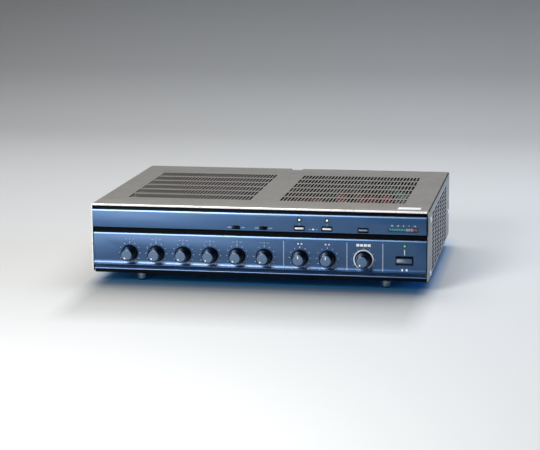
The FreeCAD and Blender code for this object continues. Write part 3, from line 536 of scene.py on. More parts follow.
moulded_black = dulled(grained("moulded_black", (3, 4, 7), (8, 10, 14), (0.38, 0.5), 0.0, 1100), 0.2)
tinned = grained("tinned_brass", (168, 164, 150), (214, 210, 196), (0.22, 0.36), 1.0, 900, 0.008)
plated = grained("plated_screw", (215, 215, 218), (245, 245, 246), (0.28, 0.4), 1.0, 1300, 0.006)
coat_nodes(moulded_black, "speaker_terminals", "input_terminals", "pin_jack_block")
for label, middle, wide, ways in STRIPS:
    pitch = (wide - STRIP_WALL) / ways
    places = [(middle + pitch * (way - (ways - 1) / 2), CHANNEL_FLOOR, STRIP_Z) for way in range(ways)]
    plate_size = (pitch - STRIP_WALL - 2 * PLATE_GAP, PLATE_TALL)
    plate = rounded(panel("plate", 0, 0, plate_size, 0, PLATE_THICK), 0.3)
    screw = cross_screw("screw", (0, PLATE_THICK, 0), "Y", 3.6, 2.6)
    fit(joined(label + "_terminal_plates", copies(plate, places)), tinned)
    fit(joined(label + "_terminal_screws", copies(screw, places)), plated)

# Pin jacks, fuse holder, earth nut and inlet bushing. The jacks are plated sleeves round a dark
# insert, the fuse holder has a ribbed cap, and the bushing is a moulded ring in the panel.

JACK_COLUMNS, JACK_ROWS, JACK_BLOCK_BACK = (144, 158, 172), (44, 60), 310
SLEEVE_OUTLINE = ((-1, 4), (0, 4), (0, 4.15), (9.4, 4.15), (10, 3.8), (10, 3.2), (1, 3.2))
INSERT_OUTLINE = ((0.5, 3.1), (8.6, 3.1), (9, 2.7), (9, 1.7), (2, 1.6))
PANEL_BACK, FUSE_X, FUSE_Z, FUSE_SIDES, EARTH_X, EARTH_Z = 307.7, -180, 66, 48, -148, 37
FUSE_OUTLINE = ((-30, 4.6), (-30, 5.2), (0, 5.2), (0, 7.9), (1.6, 7.9), (2, 7.2), (9.6, 7.2),
                (10.4, 6.6), (10.4, 3), (9.2, 2.8))
EARTH_OUTLINE = ((0, 4.95), (0.8, 4.95), (0.8, 4.2), (4.8, 4.2), (5.2, 3.8), (5.2, 2), (8.4, 2),
                 (8.8, 1.6))


def flute(x, z, sides, every, depth, reach, front, back):
    """Draws in every so many of a turned piece's sides, between two depths and beyond a reach."""
    pick("VERT", lambda p, vert: front < p.y < back and math.hypot(p.x - x, p.z - z) > reach
         and round(math.atan2(p.z - z, p.x - x) / math.tau * sides) % every == 0)
    stretch(depth, 1, depth, spot(x, 0, z))


jack_places = [(x, JACK_BLOCK_BACK, z) for x in JACK_COLUMNS for z in JACK_ROWS]
sleeves = copies(turned("sleeve", (0, 0, 0), "Y", SLEEVE_OUTLINE, sides=32), jack_places)
inserts = copies(turned("insert", (0, 0, 0), "Y", INSERT_OUTLINE, sides=24), jack_places)
fit(joined("jack_sleeves", sleeves), tinned, replaces=("pin_jacks",))
fit(joined("jack_inserts", inserts), moulded_black)
fuse = turned("fuse_cap", (FUSE_X, PANEL_BACK, FUSE_Z), "Y", FUSE_OUTLINE, FUSE_SIDES)
flute(FUSE_X, FUSE_Z, FUSE_SIDES, 2, 0.93, 7, PANEL_BACK + 1.8, PANEL_BACK + 9.8)
fit(fuse, moulded_black, replaces=("fuse_holder",))
earth = turned("earth_nut", (EARTH_X, PANEL_BACK, EARTH_Z), "Y", EARTH_OUTLINE, sides=6)
fit(earth, tinned, replaces=("earth_terminal",))
coat_nodes(moulded_black, "cord_bushing")

# Inside. Boards of lacquered laminate on posts, transformers with taped windings, a heat sink and
# capacitors stand on the tray, and bundles of insulated wire run between them. Only slivers of
# them show through the slots.

WIRE_RADIUS, WIRE_COUNT, WIRE_STEP = 1.25, 5, Vector((2.4, 2.2, -0.5))
WIRE_RUNS = (
    ("pink_wires", (250, 130, 160),
     ((30, 83, 37), (27, 92, 84), (36, 102, 97), (50, 100, 97), (58, 60, 88), (60, 22, 82))),
    ("orange_wires", (250, 130, 80),
     ((96, 85, 37), (84, 120, 84), (83, 146, 97), (95, 154, 97), (100, 140, 78), (96, 118, 52))),
    ("red_wires", (245, 34, 38),
     ((128, 100, 54), (120, 122, 92), (123, 136, 97), (134, 137, 97), (139, 122, 90), (138, 102, 54))),
    ("green_wires", (40, 190, 160),
     ((42, 194, 74), (70, 196, 92), (104, 196, 97), (140, 186, 97), (164, 150, 84), (166, 85, 37))),
    ("white_wires", (246, 244, 238),
     ((176, 226, 29), (170, 170, 90), (163, 128, 97), (158, 118, 96), (160, 96, 70), (162, 85, 37))))


def board_finish():
    """Green lacquer over copper tracks and pads."""
    finish = new_finish("board_lacquer", (20, 70, 52), 0.35)
    tracks = add_node(finish, "TexBrick")
    tracks.inputs["Scale"].default_value = 90
    tracks.inputs["Mortar Size"].default_value = 0.05
    for socket, color in (("Color1", (20, 66, 50)), ("Color2", (24, 84, 60)), ("Mortar", (70, 140, 92))):
        tracks.inputs[socket].default_value = (*srgb(*color), 1)
    link(finish, add_node(finish, "TexCoord").outputs["Object"], tracks.inputs["Vector"])
    feed(finish, "Base Color", tracks.outputs["Color"])
    bump(finish, tracks.outputs["Fac"], 0.05)
    return finish


def wire(places):
    """An insulated wire through places in mm."""
    select_nothing()
    bpy.ops.curve.primitive_bezier_curve_add()
    path = bpy.context.object
    points = path.data.splines[0].bezier_points
    points.add(len(places) - 2)
    for point, place in zip(points, places):
        point.co = spot(*place)
        point.handle_left_type = point.handle_right_type = "AUTO"
    path.data.bevel_depth = WIRE_RADIUS * MM
    path.data.bevel_resolution = 1
    path.data.resolution_u = 6
    bpy.ops.object.convert(target="MESH")
    return bpy.context.object


def darker(color):
    return [0.8 * part for part in color]


core_iron = grained("core_iron", (26, 26, 28), (44, 44, 46), (0.4, 0.6), 0.7, 1400, 0.05, (1, 1, 0.03))
taped_winding = grained("winding_tape", (104, 70, 24), (136, 98, 40), (0.35, 0.5), 0.0, 500, 0.04,
                        (0.05, 1, 1))
sink_alloy = grained("sink_alloy", (62, 64, 66), (84, 86, 88), (0.3, 0.45), 0.9, 900, 0.01, (1, 1, 0.05))
can_sleeve = grained("can_sleeve", (16, 26, 60), (26, 40, 84), (0.25, 0.35), 0.0, 500, 0.01)
pot_case = grained("pot_case", (84, 84, 86), (112, 112, 114), (0.3, 0.45), 0.9, 800, 0.01)
nylon = grained("socket_nylon", (206, 204, 196), (232, 230, 222), (0.35, 0.45), 0.0, 700, 0.01)
coat_nodes(board_finish(), "control_board", "switch_board", "main_board")
coat_nodes(core_iron, "power_transformer_core", "output_transformer_core", "drive_transformer")
coat_nodes(taped_winding, "power_transformer_winding", "output_transformer_winding")
coat_nodes(sink_alloy, "heat_sink")
coat_nodes(can_sleeve, "reservoir_capacitors")
coat_nodes(pot_case, "potentiometers", "slide_switches", "board_posts")
coat_nodes(moulded_black, "output_transistors", "speaker_relay", "push_switches", "power_switch")
coat_nodes(nylon, "board_connectors")
for name, color, places in WIRE_RUNS:
    run = copies(wire(places), [WIRE_STEP * step for step in range(WIRE_COUNT)])
    fit(joined(name, run), grained(name, darker(color), color, (0.3, 0.4), 0.0, 600, 0.01))

# Front frame. A steel plate, painted black, behind both mouldings. It shows above them, in the
# groove between them, where it has a rib, and below them.

satin_black = grained("satin_black_paint", (1, 3, 8), (3, 7, 14), (0.3, 0.42), 0.0, 1500, 0.012)
coat_nodes(dulled(satin_black, 0.06), "front_frame")

# Lower fascia. An aluminium moulding, brushed along its length and anodised blue. It is flat behind
# the knobs and flares forward in a cove to a narrow lip, under which it slants in to a thin bead.

FASCIA_HALF, FASCIA_BACK = 207.3, 5
LOWER_TOP, EDGE_TALL, EDGE_DEEP, EDGE_BREAK, COVE_TOP = 65.9, 1.7, 0.5, 0.3, 31.9
COVE_RADIUS, COVE_TURN, LIP_RADIUS, LIP_TURN = 9, math.radians(35), 0.7, math.radians(42)
UNDERCUT, BEAD_RADIUS, BEAD_START, BEAD_TURN = 7, 0.9, math.radians(20), math.radians(200)
AXIS_Z, SHAFT_HOLE, LAMP_HOLE, HOLE_FLARE, CUT_DEEP = 41, 4.4, 1.7, 0.3, 12
POWER_X, POWER_LAMP_Z, POWER_HOLE = 180.8, 58.9, (20.8, 10.6)
BASS_X, TREBLE_X, MASTER_X = 52.6, 86.6, 130.8
INPUT_COLUMNS = [-161.6 + 34 * number for number in range(6)]
CONTROLS = [("input_%d" % (number + 1), x) for number, x in enumerate(INPUT_COLUMNS)]
CONTROLS += [("bass", BASS_X), ("treble", TREBLE_X), ("master", MASTER_X)]


def anodised_blue():
    """Blue dye in a brushed aluminium skin: fine lines along X, with a soft sheen."""
    finish = new_finish("anodised_blue", (10, 64, 108), 0.36, 0.85)
    feed(finish, "Coat Weight", 1)
    feed(finish, "Coat Roughness", 0.24)
    lines = add_grain(finish, 3000, (0.012, 1, 1))
    color = ramp(finish, lines.outputs["Tone"], (0.35, (4, 58, 100)), (0.65, (14, 70, 116)))
    feed(finish, "Base Color", color)
    feed(finish, "Roughness", spread(finish, lines.outputs["Grain"], 0.3, 0.7, 0.32, 0.4))
    bump(finish, lines.outputs["Grain"], 0.012)
    return finish


def moulding(name, y, floor, top):
    """A moulding's flat face at y, carried over its slanted top edge and back to the frame. It is
    left open in edit mode."""
    piece = block(name, (-FASCIA_HALF, y, floor), (FASCIA_HALF, y + 1, top - EDGE_TALL))
    pick("FACE", lambda p, face: not at(p.y, y))
    bpy.ops.mesh.delete(type="FACE")
    pick("EDGE", lambda p, edge: at(p.z, top - EDGE_TALL))
    push(0, EDGE_DEEP, EDGE_TALL - EDGE_BREAK)
    push(0, EDGE_BREAK, EDGE_BREAK)
    push(0, FASCIA_BACK - EDGE_DEEP - EDGE_BREAK - y, 0)
    return piece


def close_moulding():
    """Fills a moulding's two ends and its back."""
    for end in (-1, 1):
        pick("EDGE", lambda p, edge: at(p.x, end * FASCIA_HALF))
        bpy.ops.mesh.edge_face_add()
    pick("EDGE", lambda p, edge: at(p.y, FASCIA_BACK) and not at(abs(p.x), FASCIA_HALF))
    bpy.ops.mesh.edge_face_add()
    close_edit()


def slab(name, x, z, size, face):
    """A closed cutter through a moulding's face, centred on x, z."""
    piece = panel(name, x, z, size, face - 2, face + CUT_DEEP)
    close_edit()
    return piece


def bore(name, x, z, radius, face):
    """A round cutter through a moulding's face, with a flare that breaks the hole's edge."""
    piece = turned(name, (x, face, z), "Y", (
        (-2, radius + HOLE_FLARE), (0, radius + HOLE_FLARE), (HOLE_FLARE, radius), (CUT_DEEP, radius)),
        sides=32)
    close_edit()
    return piece


def refinish(piece, finish, test):
    """Gives another finish to the faces whose middle, in mm, and normal pass a test."""
    piece.data.materials.append(finish)
    for polygon in piece.data.polygons:
        if test(in_mm(polygon.center), polygon.normal):
            polygon.material_index = len(piece.data.materials) - 1


lower = moulding("lower_moulding", 0, COVE_TOP, LOWER_TOP)
cove_y = -COVE_RADIUS * (1 - math.cos(COVE_TURN))
cove_z = COVE_TOP - COVE_RADIUS * math.sin(COVE_TURN)
lip_centre_y = cove_y + LIP_RADIUS * math.cos(COVE_TURN)
lip_centre_z = cove_z - LIP_RADIUS * math.sin(COVE_TURN)
under_y = lip_centre_y - LIP_RADIUS * math.cos(LIP_TURN) + UNDERCUT * math.sin(LIP_TURN)
under_z = lip_centre_z - LIP_RADIUS * math.sin(LIP_TURN) - UNDERCUT * math.cos(LIP_TURN)
bead_y = under_y - BEAD_RADIUS * math.sin(BEAD_START)
bead_z = under_z - BEAD_RADIUS * math.cos(BEAD_START)
pick("EDGE", lambda p, edge: at(p.z, COVE_TOP))
bpy.ops.mesh.spin(steps=10, angle=COVE_TURN, center=spot(0, -COVE_RADIUS, COVE_TOP), axis=(1, 0, 0))
bpy.ops.mesh.spin(steps=12, angle=COVE_TURN + LIP_TURN, axis=(-1, 0, 0),
                  center=spot(0, lip_centre_y, lip_centre_z))
push(0, UNDERCUT * math.sin(LIP_TURN), -UNDERCUT * math.cos(LIP_TURN))
bpy.ops.mesh.spin(steps=12, angle=BEAD_TURN, center=spot(0, bead_y, bead_z), axis=(-1, 0, 0))
push(0, FASCIA_BACK - bead_y, 0)
close_moulding()
cutters = [bore("shaft_hole", x, AXIS_Z, SHAFT_HOLE, 0) for _, x in CONTROLS]
cutters.append(bore("lamp_hole", POWER_X, POWER_LAMP_Z, LAMP_HOLE, 0))
cutters.append(slab("power_hole", POWER_X, AXIS_Z, POWER_HOLE, 0))
cut_away(lower, cutters)
blue = anodised_blue()
fascia_edge_highlight = grained("fascia_edge_highlight", (86, 112, 148), (104, 130, 166), (0.3, 0.38), 0.85, 3000, 0.004,
                   (0.012, 1, 1))
fit(lower, blue, replaces=("lower_fascia",), smooth=25)
# Painted highlight: the slanted top edge and the bead are given a paler finish.
refinish(lower, fascia_edge_highlight, lambda p, way: 0.1 < way.z < 0.9 and p.z > LOWER_TOP - EDGE_TALL
         or p.z < bead_z + BEAD_RADIUS and abs(way.x) < 0.5)

# Upper fascia. A flatter moulding of the same stock, which stands prouder than the lower one, with
# windows for two slide switches, three buttons and the level meter. Its slanted top edge is painted
# paler as a highlight, as the lower one's top edge and bead are.

UPPER_FACE, UPPER_FLOOR, UPPER_TOP = -4, 73.8, 95.5
SWITCH_Z, SPEAKER_LAMP_Z, METER_X, METER_Z = 77.4, 88.7, 179.5, 79.6
SLIDE_X, BUTTON_X, BUTTON_Z = (-25.6, 8.4), (BASS_X, TREBLE_X, MASTER_X), (78.5, 78.5, 77.9)
SLIDE_WINDOW, BUTTON_WINDOW, METER_WINDOW = (9, 4), (12.8, 5.5), (36.4, 5.4)
upper = moulding("upper_moulding", UPPER_FACE, UPPER_FLOOR, UPPER_TOP)
pick("EDGE", lambda p, edge: at(p.z, UPPER_FLOOR))
push(0, FASCIA_BACK - UPPER_FACE, 0)
close_moulding()
cutters = [slab("slide_window", x, SWITCH_Z, SLIDE_WINDOW, UPPER_FACE) for x in SLIDE_X]
cutters += [slab("button_window", x, z, BUTTON_WINDOW, UPPER_FACE) for x, z in zip(BUTTON_X, BUTTON_Z)]
cutters += [bore("lamp_hole", x, SPEAKER_LAMP_Z, LAMP_HOLE, UPPER_FACE) for x in BUTTON_X[:2]]
cutters.append(slab("meter_window", METER_X, METER_Z, METER_WINDOW, UPPER_FACE))
cut_away(upper, cutters)
fit(upper, blue, replaces=("upper_fascia",), smooth=25)
refinish(upper, fascia_edge_highlight, lambda p, way: 0.1 < way.z < 0.9 and p.z > UPPER_TOP - EDGE_TALL)

# Knobs. Each is moulded in black with a skirt and a fluted grip, pushed on its shaft, and a spun
# aluminium cap is pressed in its front. A white dot or line on the cap shows where it stands.

KNOB_BACK, SKIRT_RADIUS, SKIRT_FRONT, CAP_RADIUS = 0.8, 10.2, 2.9, 6.9
GRIP_OUTLINE = ((KNOB_BACK, 3), (KNOB_BACK, 9.9), (1.1, SKIRT_RADIUS), (2.5, SKIRT_RADIUS), (2.7, 10),
                (SKIRT_FRONT, 9.3), (3.4, 9.1), (15.9, 7.7), (16.3, 7.2), (16.35, CAP_RADIUS),
                (15.6, CAP_RADIUS))
CAP_OUTLINE = ((15.5, 6), (15.5, 6.8), (16.4, 6.8), (16.6, 6.7), (16.95, 6.3), (17, 6.1), (17, 5.8),
               (17, 0.3))
DOT_OUTLINE = ((16.4, 1.05), (17.1, 1.05), (17.2, 0.85))
KNOB_SIDES, DOT_REACH, DOT_TURN = 72, 4.7, math.radians(212)
LINE_FLOOR, LINE_SIZE = 1.6, (1.2, 3.6)


def spun_cap():
    """Bare aluminium with the fine rings that spinning leaves, read from a map centred on it."""
    finish = new_finish("spun_cap", (60, 86, 118), 0.3, 1.0)
    feed(finish, "Coat Weight", 0.7)
    feed(finish, "Coat Roughness", 0.4)
    away = add_node(finish, "VectorMath", operation="LENGTH")
    link(finish, add_node(finish, "UVMap").outputs["UV"], away.inputs[0])
    rings = add_node(finish, "TexNoise", noise_dimensions="1D")
    rings.inputs["Scale"].default_value = 9
    rings.inputs["Detail"].default_value = 3
    link(finish, away.outputs["Value"], rings.inputs["W"])
    color = ramp(finish, rings.outputs["Fac"], (0.35, (66, 90, 120)), (0.65, (94, 120, 152)))
    feed(finish, "Base Color", color)
    feed(finish, "Roughness", spread(finish, rings.outputs["Fac"], 0.3, 0.7, 0.26, 0.42))
    bump(finish, rings.outputs["Fac"], 0.02)
    return finish


def map_round(piece, x, z):
    """Gives a piece a map in mm from the axis x, z."""
    layer = piece.data.uv_layers.active or piece.data.uv_layers.new(name="round")
    for loop in piece.data.loops:
        place = in_mm(piece.data.vertices[loop.vertex_index].co)
        layer.data[loop.index].uv = (place.x - x, place.z - z)


skirt_plastic = dulled(grained("skirt_plastic", (1, 2, 5), (4, 6, 10), (0.5, 0.6), 0.0, 1400, 0.01), 0.05)
knob_plastic = grained("knob_plastic", (1, 2, 5), (4, 6, 10), (0.1, 0.16), 0.0, 1400, 0.004)
cap_metal = spun_cap()
white_paint = grained("white_paint", (222, 224, 226), (246, 247, 248), (0.4, 0.5), 0.0, 1800, 0.005)
turned_steel = grained("turned_steel", (150, 150, 150), (190, 190, 188), (0.25, 0.38), 1.0, 1500, 0.008,
                       (1, 0.1, 1))
grip = turned("grip", (0, 0, AXIS_Z), "-Y", GRIP_OUTLINE, KNOB_SIDES)
flute(0, AXIS_Z, KNOB_SIDES, 3, 0.985, CAP_RADIUS + 0.5, -15, -3)
close_edit()
cap = turned("cap", (0, 0, AXIS_Z), "-Y", CAP_OUTLINE, sides=48)
close_edit()
line = panel("line", 0, AXIS_Z + LINE_FLOOR + LINE_SIZE[1] / 2, LINE_SIZE, -17.2, -16.6)
rounded(line, 0.08)
dot_place = (DOT_REACH * math.sin(DOT_TURN), 0, AXIS_Z + DOT_REACH * math.cos(DOT_TURN))
dot = turned("dot", dot_place, "-Y", DOT_OUTLINE, sides=20)
close_edit()
for name, x in CONTROLS:
    body = name + "_control"
    knob = copy_of(grip, name + "_knob_body", (x, 0, 0))
    fit(knob, knob_plastic, body, (name + "_knob",))
    refinish(knob, skirt_plastic, lambda p, way: p.y > -SKIRT_FRONT)
    knob_cap = fit(copy_of(cap, name + "_knob_cap", (x, 0, 0)), cap_metal, body)
    map_round(knob_cap, x, AXIS_Z)
    mark = line if name in ("bass", "treble") else dot
    fit(copy_of(mark, name + "_knob_" + mark.name, (x, 0, 0)), white_paint, body)
    coat_nodes(turned_steel, name + "_shaft")
for pattern in (grip, cap, line, dot):
    bpy.data.objects.remove(pattern)

# Push buttons, power button and sliders. Two caps are moulded in pale grey, the third one in dark
# grey, the power button in blue grey and the sliders in black. Each moves in a black surround
# snapped into its window.

BUTTON_OUTER, BUTTON_OPENING = (13.4, 6.3), (11.2, 3.4)
SLIDE_OUTER, SLIDE_OPENING = (9.8, 4.6), (8.8, 3.8)
POWER_OUTER, POWER_OPENING, POWER_CAP = (21.6, 11.4), (19.6, 9.6), (18.6, 8.8)
POWER_FRONT, POWER_BACK, POWER_LEAN = -3, 3, 1.4
BUTTON_HALF, BUTTON_BACK, BUTTON_FLOOR = 5.3, 6, -1.1
SLIDER_SIZE, SLIDER_FRONT, SLIDER_BACK, SLIDER_REST = (3.2, 3), -5, 11, -2.4
cap_grey = grained("cap_grey", (206, 212, 224), (232, 236, 244), (0.36, 0.48), 0.0, 1300, 0.012)
cap_dark = grained("cap_dark", (104, 124, 152), (126, 146, 174), (0.36, 0.48), 0.0, 1300, 0.012)
power_grey = grained("power_grey", (50, 66, 94), (64, 82, 112), (0.3, 0.4), 0.0, 1300, 0.012)


def surround(name, x, z, outer, opening, face, proud):
    """A black frame round a window, with a broken front edge."""
    ring = rounded(panel(name, x, z, outer, face - proud, face + 3), 0.4, 3)
    return cut_away(ring, [slab("opening", x, z, opening, face)])


def step_in(y, border, deep):
    """Insets the face at y by a border and carries it back."""
    pick("FACE", lambda p, face: at(p.y, y))
    bpy.ops.mesh.inset(thickness=border * MM)
    push(0, deep, 0)


surrounds = copies(surround("surround", 0, 0, BUTTON_OUTER, BUTTON_OPENING, UPPER_FACE, 0.5),
                   [(x, 0, z) for x, z in zip(BUTTON_X, BUTTON_Z)])
surrounds += copies(surround("surround", 0, SWITCH_Z, SLIDE_OUTER, SLIDE_OPENING, UPPER_FACE, 0.2),
                    [(x, 0, 0) for x in SLIDE_X])
fit(joined("window_surrounds", surrounds), satin_black)
fit(surround("power_surround", POWER_X, AXIS_Z, POWER_OUTER, POWER_OPENING, 0, 0.3), satin_black)
BUTTONS = (("speaker_a", cap_grey, -5.6, 0.9), ("speaker_b", cap_grey, -5.6, 0.9),
           ("chime", cap_dark, -4.4, 1.1))
for (name, finish, front, top), x, z in zip(BUTTONS, BUTTON_X, BUTTON_Z):
    cap = block(name + "_button_cap", (x - BUTTON_HALF, front, z + BUTTON_FLOOR),
                (x + BUTTON_HALF, BUTTON_BACK, z + top))
    pick("EDGE", lambda p, edge: at(p.y, front) and at(p.z, z + top))
    bpy.ops.mesh.bevel(offset=0.5 * MM, segments=1)
    step_in(BUTTON_BACK, 0.5, 6)
    fit(rounded(cap, 0.25), finish, name + "_push", (name + "_button",))
power_low, power_high = AXIS_Z - POWER_CAP[1] / 2, AXIS_Z + POWER_CAP[1] / 2
cap = panel("power_button_cap", POWER_X, AXIS_Z, POWER_CAP, POWER_FRONT, POWER_BACK)
bpy.ops.mesh.bisect(plane_co=spot(0, 0, AXIS_Z), plane_no=(0, 0, 1))
pick("VERT", lambda p, vert: at(p.z, AXIS_Z) and at(p.y, POWER_FRONT))
move(0, -1.8, -1.9)
pick("VERT", lambda p, vert: at(p.z, power_low) and at(p.y, POWER_FRONT))
move(0, -POWER_FRONT, 0)
pick("VERT", lambda p, vert: at(p.z, power_high))
move(0, 0, -POWER_LEAN)
step_in(POWER_BACK, 1.5, 9)
fit(rounded(cap, 0.35), power_grey, "power_push", ("power_button",))
slider = panel("slider", 0, SWITCH_Z, SLIDER_SIZE, SLIDER_FRONT, SLIDER_BACK)
for cut in (-0.9, -0.3, 0.3, 0.9):
    bpy.ops.mesh.bisect(plane_co=spot(cut, 0, 0), plane_no=(1, 0, 0))
    bpy.ops.mesh.select_all(action="SELECT")
pick("FACE", lambda p, face: at(p.y, SLIDER_FRONT) and 0.4 < abs(p.x) < 0.8)
push(0, 0.5, 0)
close_edit()
for name, x in zip(("low_cut", "priority"), SLIDE_X):
    fit(copy_of(slider, name + "_slider_cap", (x + SLIDER_REST, 0, 0)), moulded_black, name + "_slide",
        (name + "_slider",))
bpy.data.objects.remove(slider)

# Lamps and level meter. Each lamp is a clear plastic dome in a dark collar, which glows faintly
# with a painted halo of the lamp's light. The meter is a row of tinted bars in a smoked case: green,
# then pale, then red.

LENS_OUTLINE = ((-10, 1.05), (-0.2, 1.05), (0.3, 1), (0.7, 0.75), (0.85, 0.4))
COLLAR_OUTLINE = ((-2, 1.5), (-2, 3.1), (0.15, 3.1), (0.35, 2.9), (0.35, 1.7), (-0.3, 1.4), (-2, 1.4))
METER_BARS, METER_CASE, METER_FRONT, METER_BACK = 12, (36, 5), -3.6, 20
BAR_PITCH, BAR_GAP, BAR_TALL, BAR_FRONT, BAR_BACK = 34.4 / METER_BARS, 0.5, 3.4, -3.3, -2
BAR_RUNS = (("bar_green", (50, 128, 146), (40, 120, 140), 0.2, range(0, 7)),
            ("bar_pale", (150, 150, 168), (140, 140, 160), 0.15, range(7, 10)),
            ("bar_red", (120, 62, 84), (120, 56, 80), 0.2, range(10, 12)))


def lit(name, color, glow, strength):
    """Clear plastic lit from behind, a little uneven."""
    finish = new_finish(name, color, 0.2)
    grain = add_grain(finish, 900)
    tint = ramp(finish, grain.outputs["Tone"], (0.35, darker(color)), (0.65, color))
    feed(finish, "Base Color", tint)
    feed(finish, "Emission Color", (*srgb(*glow), 1))
    feed(finish, "Emission Strength", strength)
    bump(finish, grain.outputs["Grain"], 0.01)
    return finish


lamp_lens = lit("lamp_lens", (220, 255, 240), (225, 255, 245), 0.9)
power_lens = lit("power_lens", (130, 205, 180), (140, 215, 190), 0.5)
# Painted glow: the collars emit a faint green halo of their lamps' light.
speaker_collar_halo = lit("speaker_collar_halo", (2, 30, 36), (0, 40, 40), 0.1)
power_collar_halo = lit("power_collar_halo", (3, 60, 50), (0, 84, 64), 0.25)
LAMPS = (("speaker_lamp_lenses", "speaker_lamp_collars", "speaker_lamps", lamp_lens, speaker_collar_halo,
          [(x, UPPER_FACE, SPEAKER_LAMP_Z) for x in BUTTON_X[:2]]),
         ("power_lamp_lens", "power_lamp_collar", "power_lamp", power_lens, power_collar_halo,
          [(POWER_X, 0, POWER_LAMP_Z)]))
for lens_name, collar_name, node, lens_finish, collar_finish, places in LAMPS:
    lenses = copies(turned("lens", (0, 0, 0), "-Y", LENS_OUTLINE, sides=24), places)
    collars = copies(turned("collar", (0, 0, 0), "-Y", COLLAR_OUTLINE, sides=32), places)
    fit(joined(lens_name, lenses), lens_finish, replaces=(node,))
    fit(joined(collar_name, collars), collar_finish)
for name, color, glow, strength, numbers in BAR_RUNS:
    bar = rounded(panel("bar", 0, 0, (BAR_PITCH - BAR_GAP, BAR_TALL), BAR_FRONT, BAR_BACK), 0.15)
    places = [(METER_X + BAR_PITCH * (number - (METER_BARS - 1) / 2), 0, METER_Z) for number in numbers]
    fit(joined("meter_" + name, copies(bar, places)), lit(name, color, glow, strength))
meter_smoke = grained("meter_smoke", (10, 14, 16), (18, 24, 26), (0.2, 0.3), 0.0, 900, 0.01)
meter = panel("meter_case", METER_X, METER_Z, METER_CASE, METER_FRONT, METER_BACK)
step_in(METER_FRONT, 0.5, 1.4)
fit(meter, meter_smoke, replaces=("level_meter",))

# Top cover. One steel sheet, punched with fields of slots and bent down at both sides, stoved in a
# warm grey satin paint. Its slot walls and inner side are painted near black as shade, a painted
# dark line runs along each fold, and its hemmed front edge is painted near white as a highlight,
# but for the edge of its right wall. Six screws hold it to the tray.

COVER_HALF, COVER_DEPTH, COVER_TOP, COVER_FLOOR, SHEET, BEND = 210, 309, 102, 16.5, 1.6, 2.6
TOP_START, TOP_FRONT, TOP_STEP, TOP_ROW = 17.8, 48, 4.4, 34.5
TOP_COLUMNS, TOP_ROWS, TOP_SLOT = 36, 6, (2.8, 26.5)
SIDE_START, SIDE_FLOOR, SIDE_STEP, SIDE_ROW = 44, 19.9, 36.5, 5.2
SIDE_COLUMNS, SIDE_ROWS, SIDE_SLOT = 6, 14, (28.5, 3)
NOTCH_HALF, NOTCH_FRONT = 8, 299
SLOT_CORNER, EDGE_ROUND, HEM = 0.5, 0.6, 0.9
SCREW_SPOTS = ((20, 89), (20, 22.5), (287, 51))
LABEL_LOW, LABEL_HIGH = (170.6, 12, COVER_TOP), (198.3, 26, COVER_TOP + 0.12)
LIE_FLAT = Matrix.Identity(4)
STAND_ALONG = Matrix.Rotation(math.pi / 2, 4, "Z") @ Matrix.Rotation(math.pi / 2, 4, "X")


def slot_cell(step, row, slot):
    """A cell of sheet round one slot with rounded corners, centred on the frame's zero."""
    wide, tall = slot
    cell = flat_sheet("field", (-wide / 2, -tall / 2, 0), (wide / 2, tall / 2, 0))
    bpy.ops.mesh.bevel(offset=SLOT_CORNER * MM, segments=2, affect="VERTICES")
    bpy.ops.mesh.select_all(action="SELECT")
    bpy.ops.mesh.delete(type="ONLY_FACE")
    bpy.ops.mesh.select_mode(type="EDGE")
    bpy.ops.mesh.select_all(action="SELECT")
    push(0, 0, 0)
    stretch(2, 2, 1, spot(0, 0, 0))
    for side in (-1, 1):
        for end in (-1, 1):
            pick("VERT", lambda p, vert: p.x * side > 0 and p.y * end > 0
                 and (abs(p.x) > wide / 2 + 0.1 or abs(p.y) > tall / 2 + 0.1))
            bpy.ops.mesh.merge(type="CENTER")
            corner = [vert for vert in bmesh.from_edit_mesh(cell.data).verts if vert.select][0]
            bpy.ops.transform.translate(value=spot(side * step / 2, end * row / 2, 0) - corner.co)
    leave_edit()
    return cell


def slot_field(cell, turn, place, first_way, columns, second_way, rows):
    """Sets a cell in place and repeats it along two ways, in mm."""
    cell.data.transform(Matrix.Translation(spot(*place)) @ turn @ Matrix.Translation(-spot(0, 0, 0)))
    for way, count in ((first_way, columns), (second_way, rows)):
        shaped_by(cell, "ARRAY", count=count, use_relative_offset=False, use_constant_offset=True,
                  constant_offset_displace=Vector(way) * MM, use_merge_vertices=True,
                  merge_threshold=0.01 * MM)
    return cell


def saw(place, normal, test=lambda p, face: True):
    """Divides the faces that pass a test along a plane."""
    pick("FACE", test)
    bpy.ops.mesh.bisect(plane_co=spot(*place), plane_no=normal)


def on_wall(p, face):
    return at(abs(p.x), COVER_HALF) and p.z < COVER_TOP - BEND


cover = flat_sheet("top_cover_sheet", (BEND - COVER_HALF, 0, COVER_TOP),
                   (COVER_HALF - BEND, COVER_DEPTH, COVER_TOP))
top_end = TOP_START + TOP_STEP * TOP_COLUMNS
top_back = TOP_FRONT + TOP_ROW * TOP_ROWS
for number in range(TOP_COLUMNS + 1):
    for side in (-1, 1):
        saw((side * (TOP_START + TOP_STEP * number), 0, 0), (1, 0, 0))
for number in range(TOP_ROWS + 1):
    saw((0, TOP_FRONT + TOP_ROW * number, 0), (0, 1, 0))
for side in (-1, 1):
    saw((side * NOTCH_HALF, 0, 0), (1, 0, 0), lambda p, face: abs(p.x) < TOP_START and p.y > top_back)
saw((0, NOTCH_FRONT, 0), (0, 1, 0), lambda p, face: abs(p.x) < NOTCH_HALF and p.y > top_back)
pick("FACE", lambda p, face: TOP_START < abs(p.x) < top_end and TOP_FRONT < p.y < top_back
     or abs(p.x) < NOTCH_HALF and p.y > NOTCH_FRONT)
bpy.ops.mesh.delete(type="FACE")
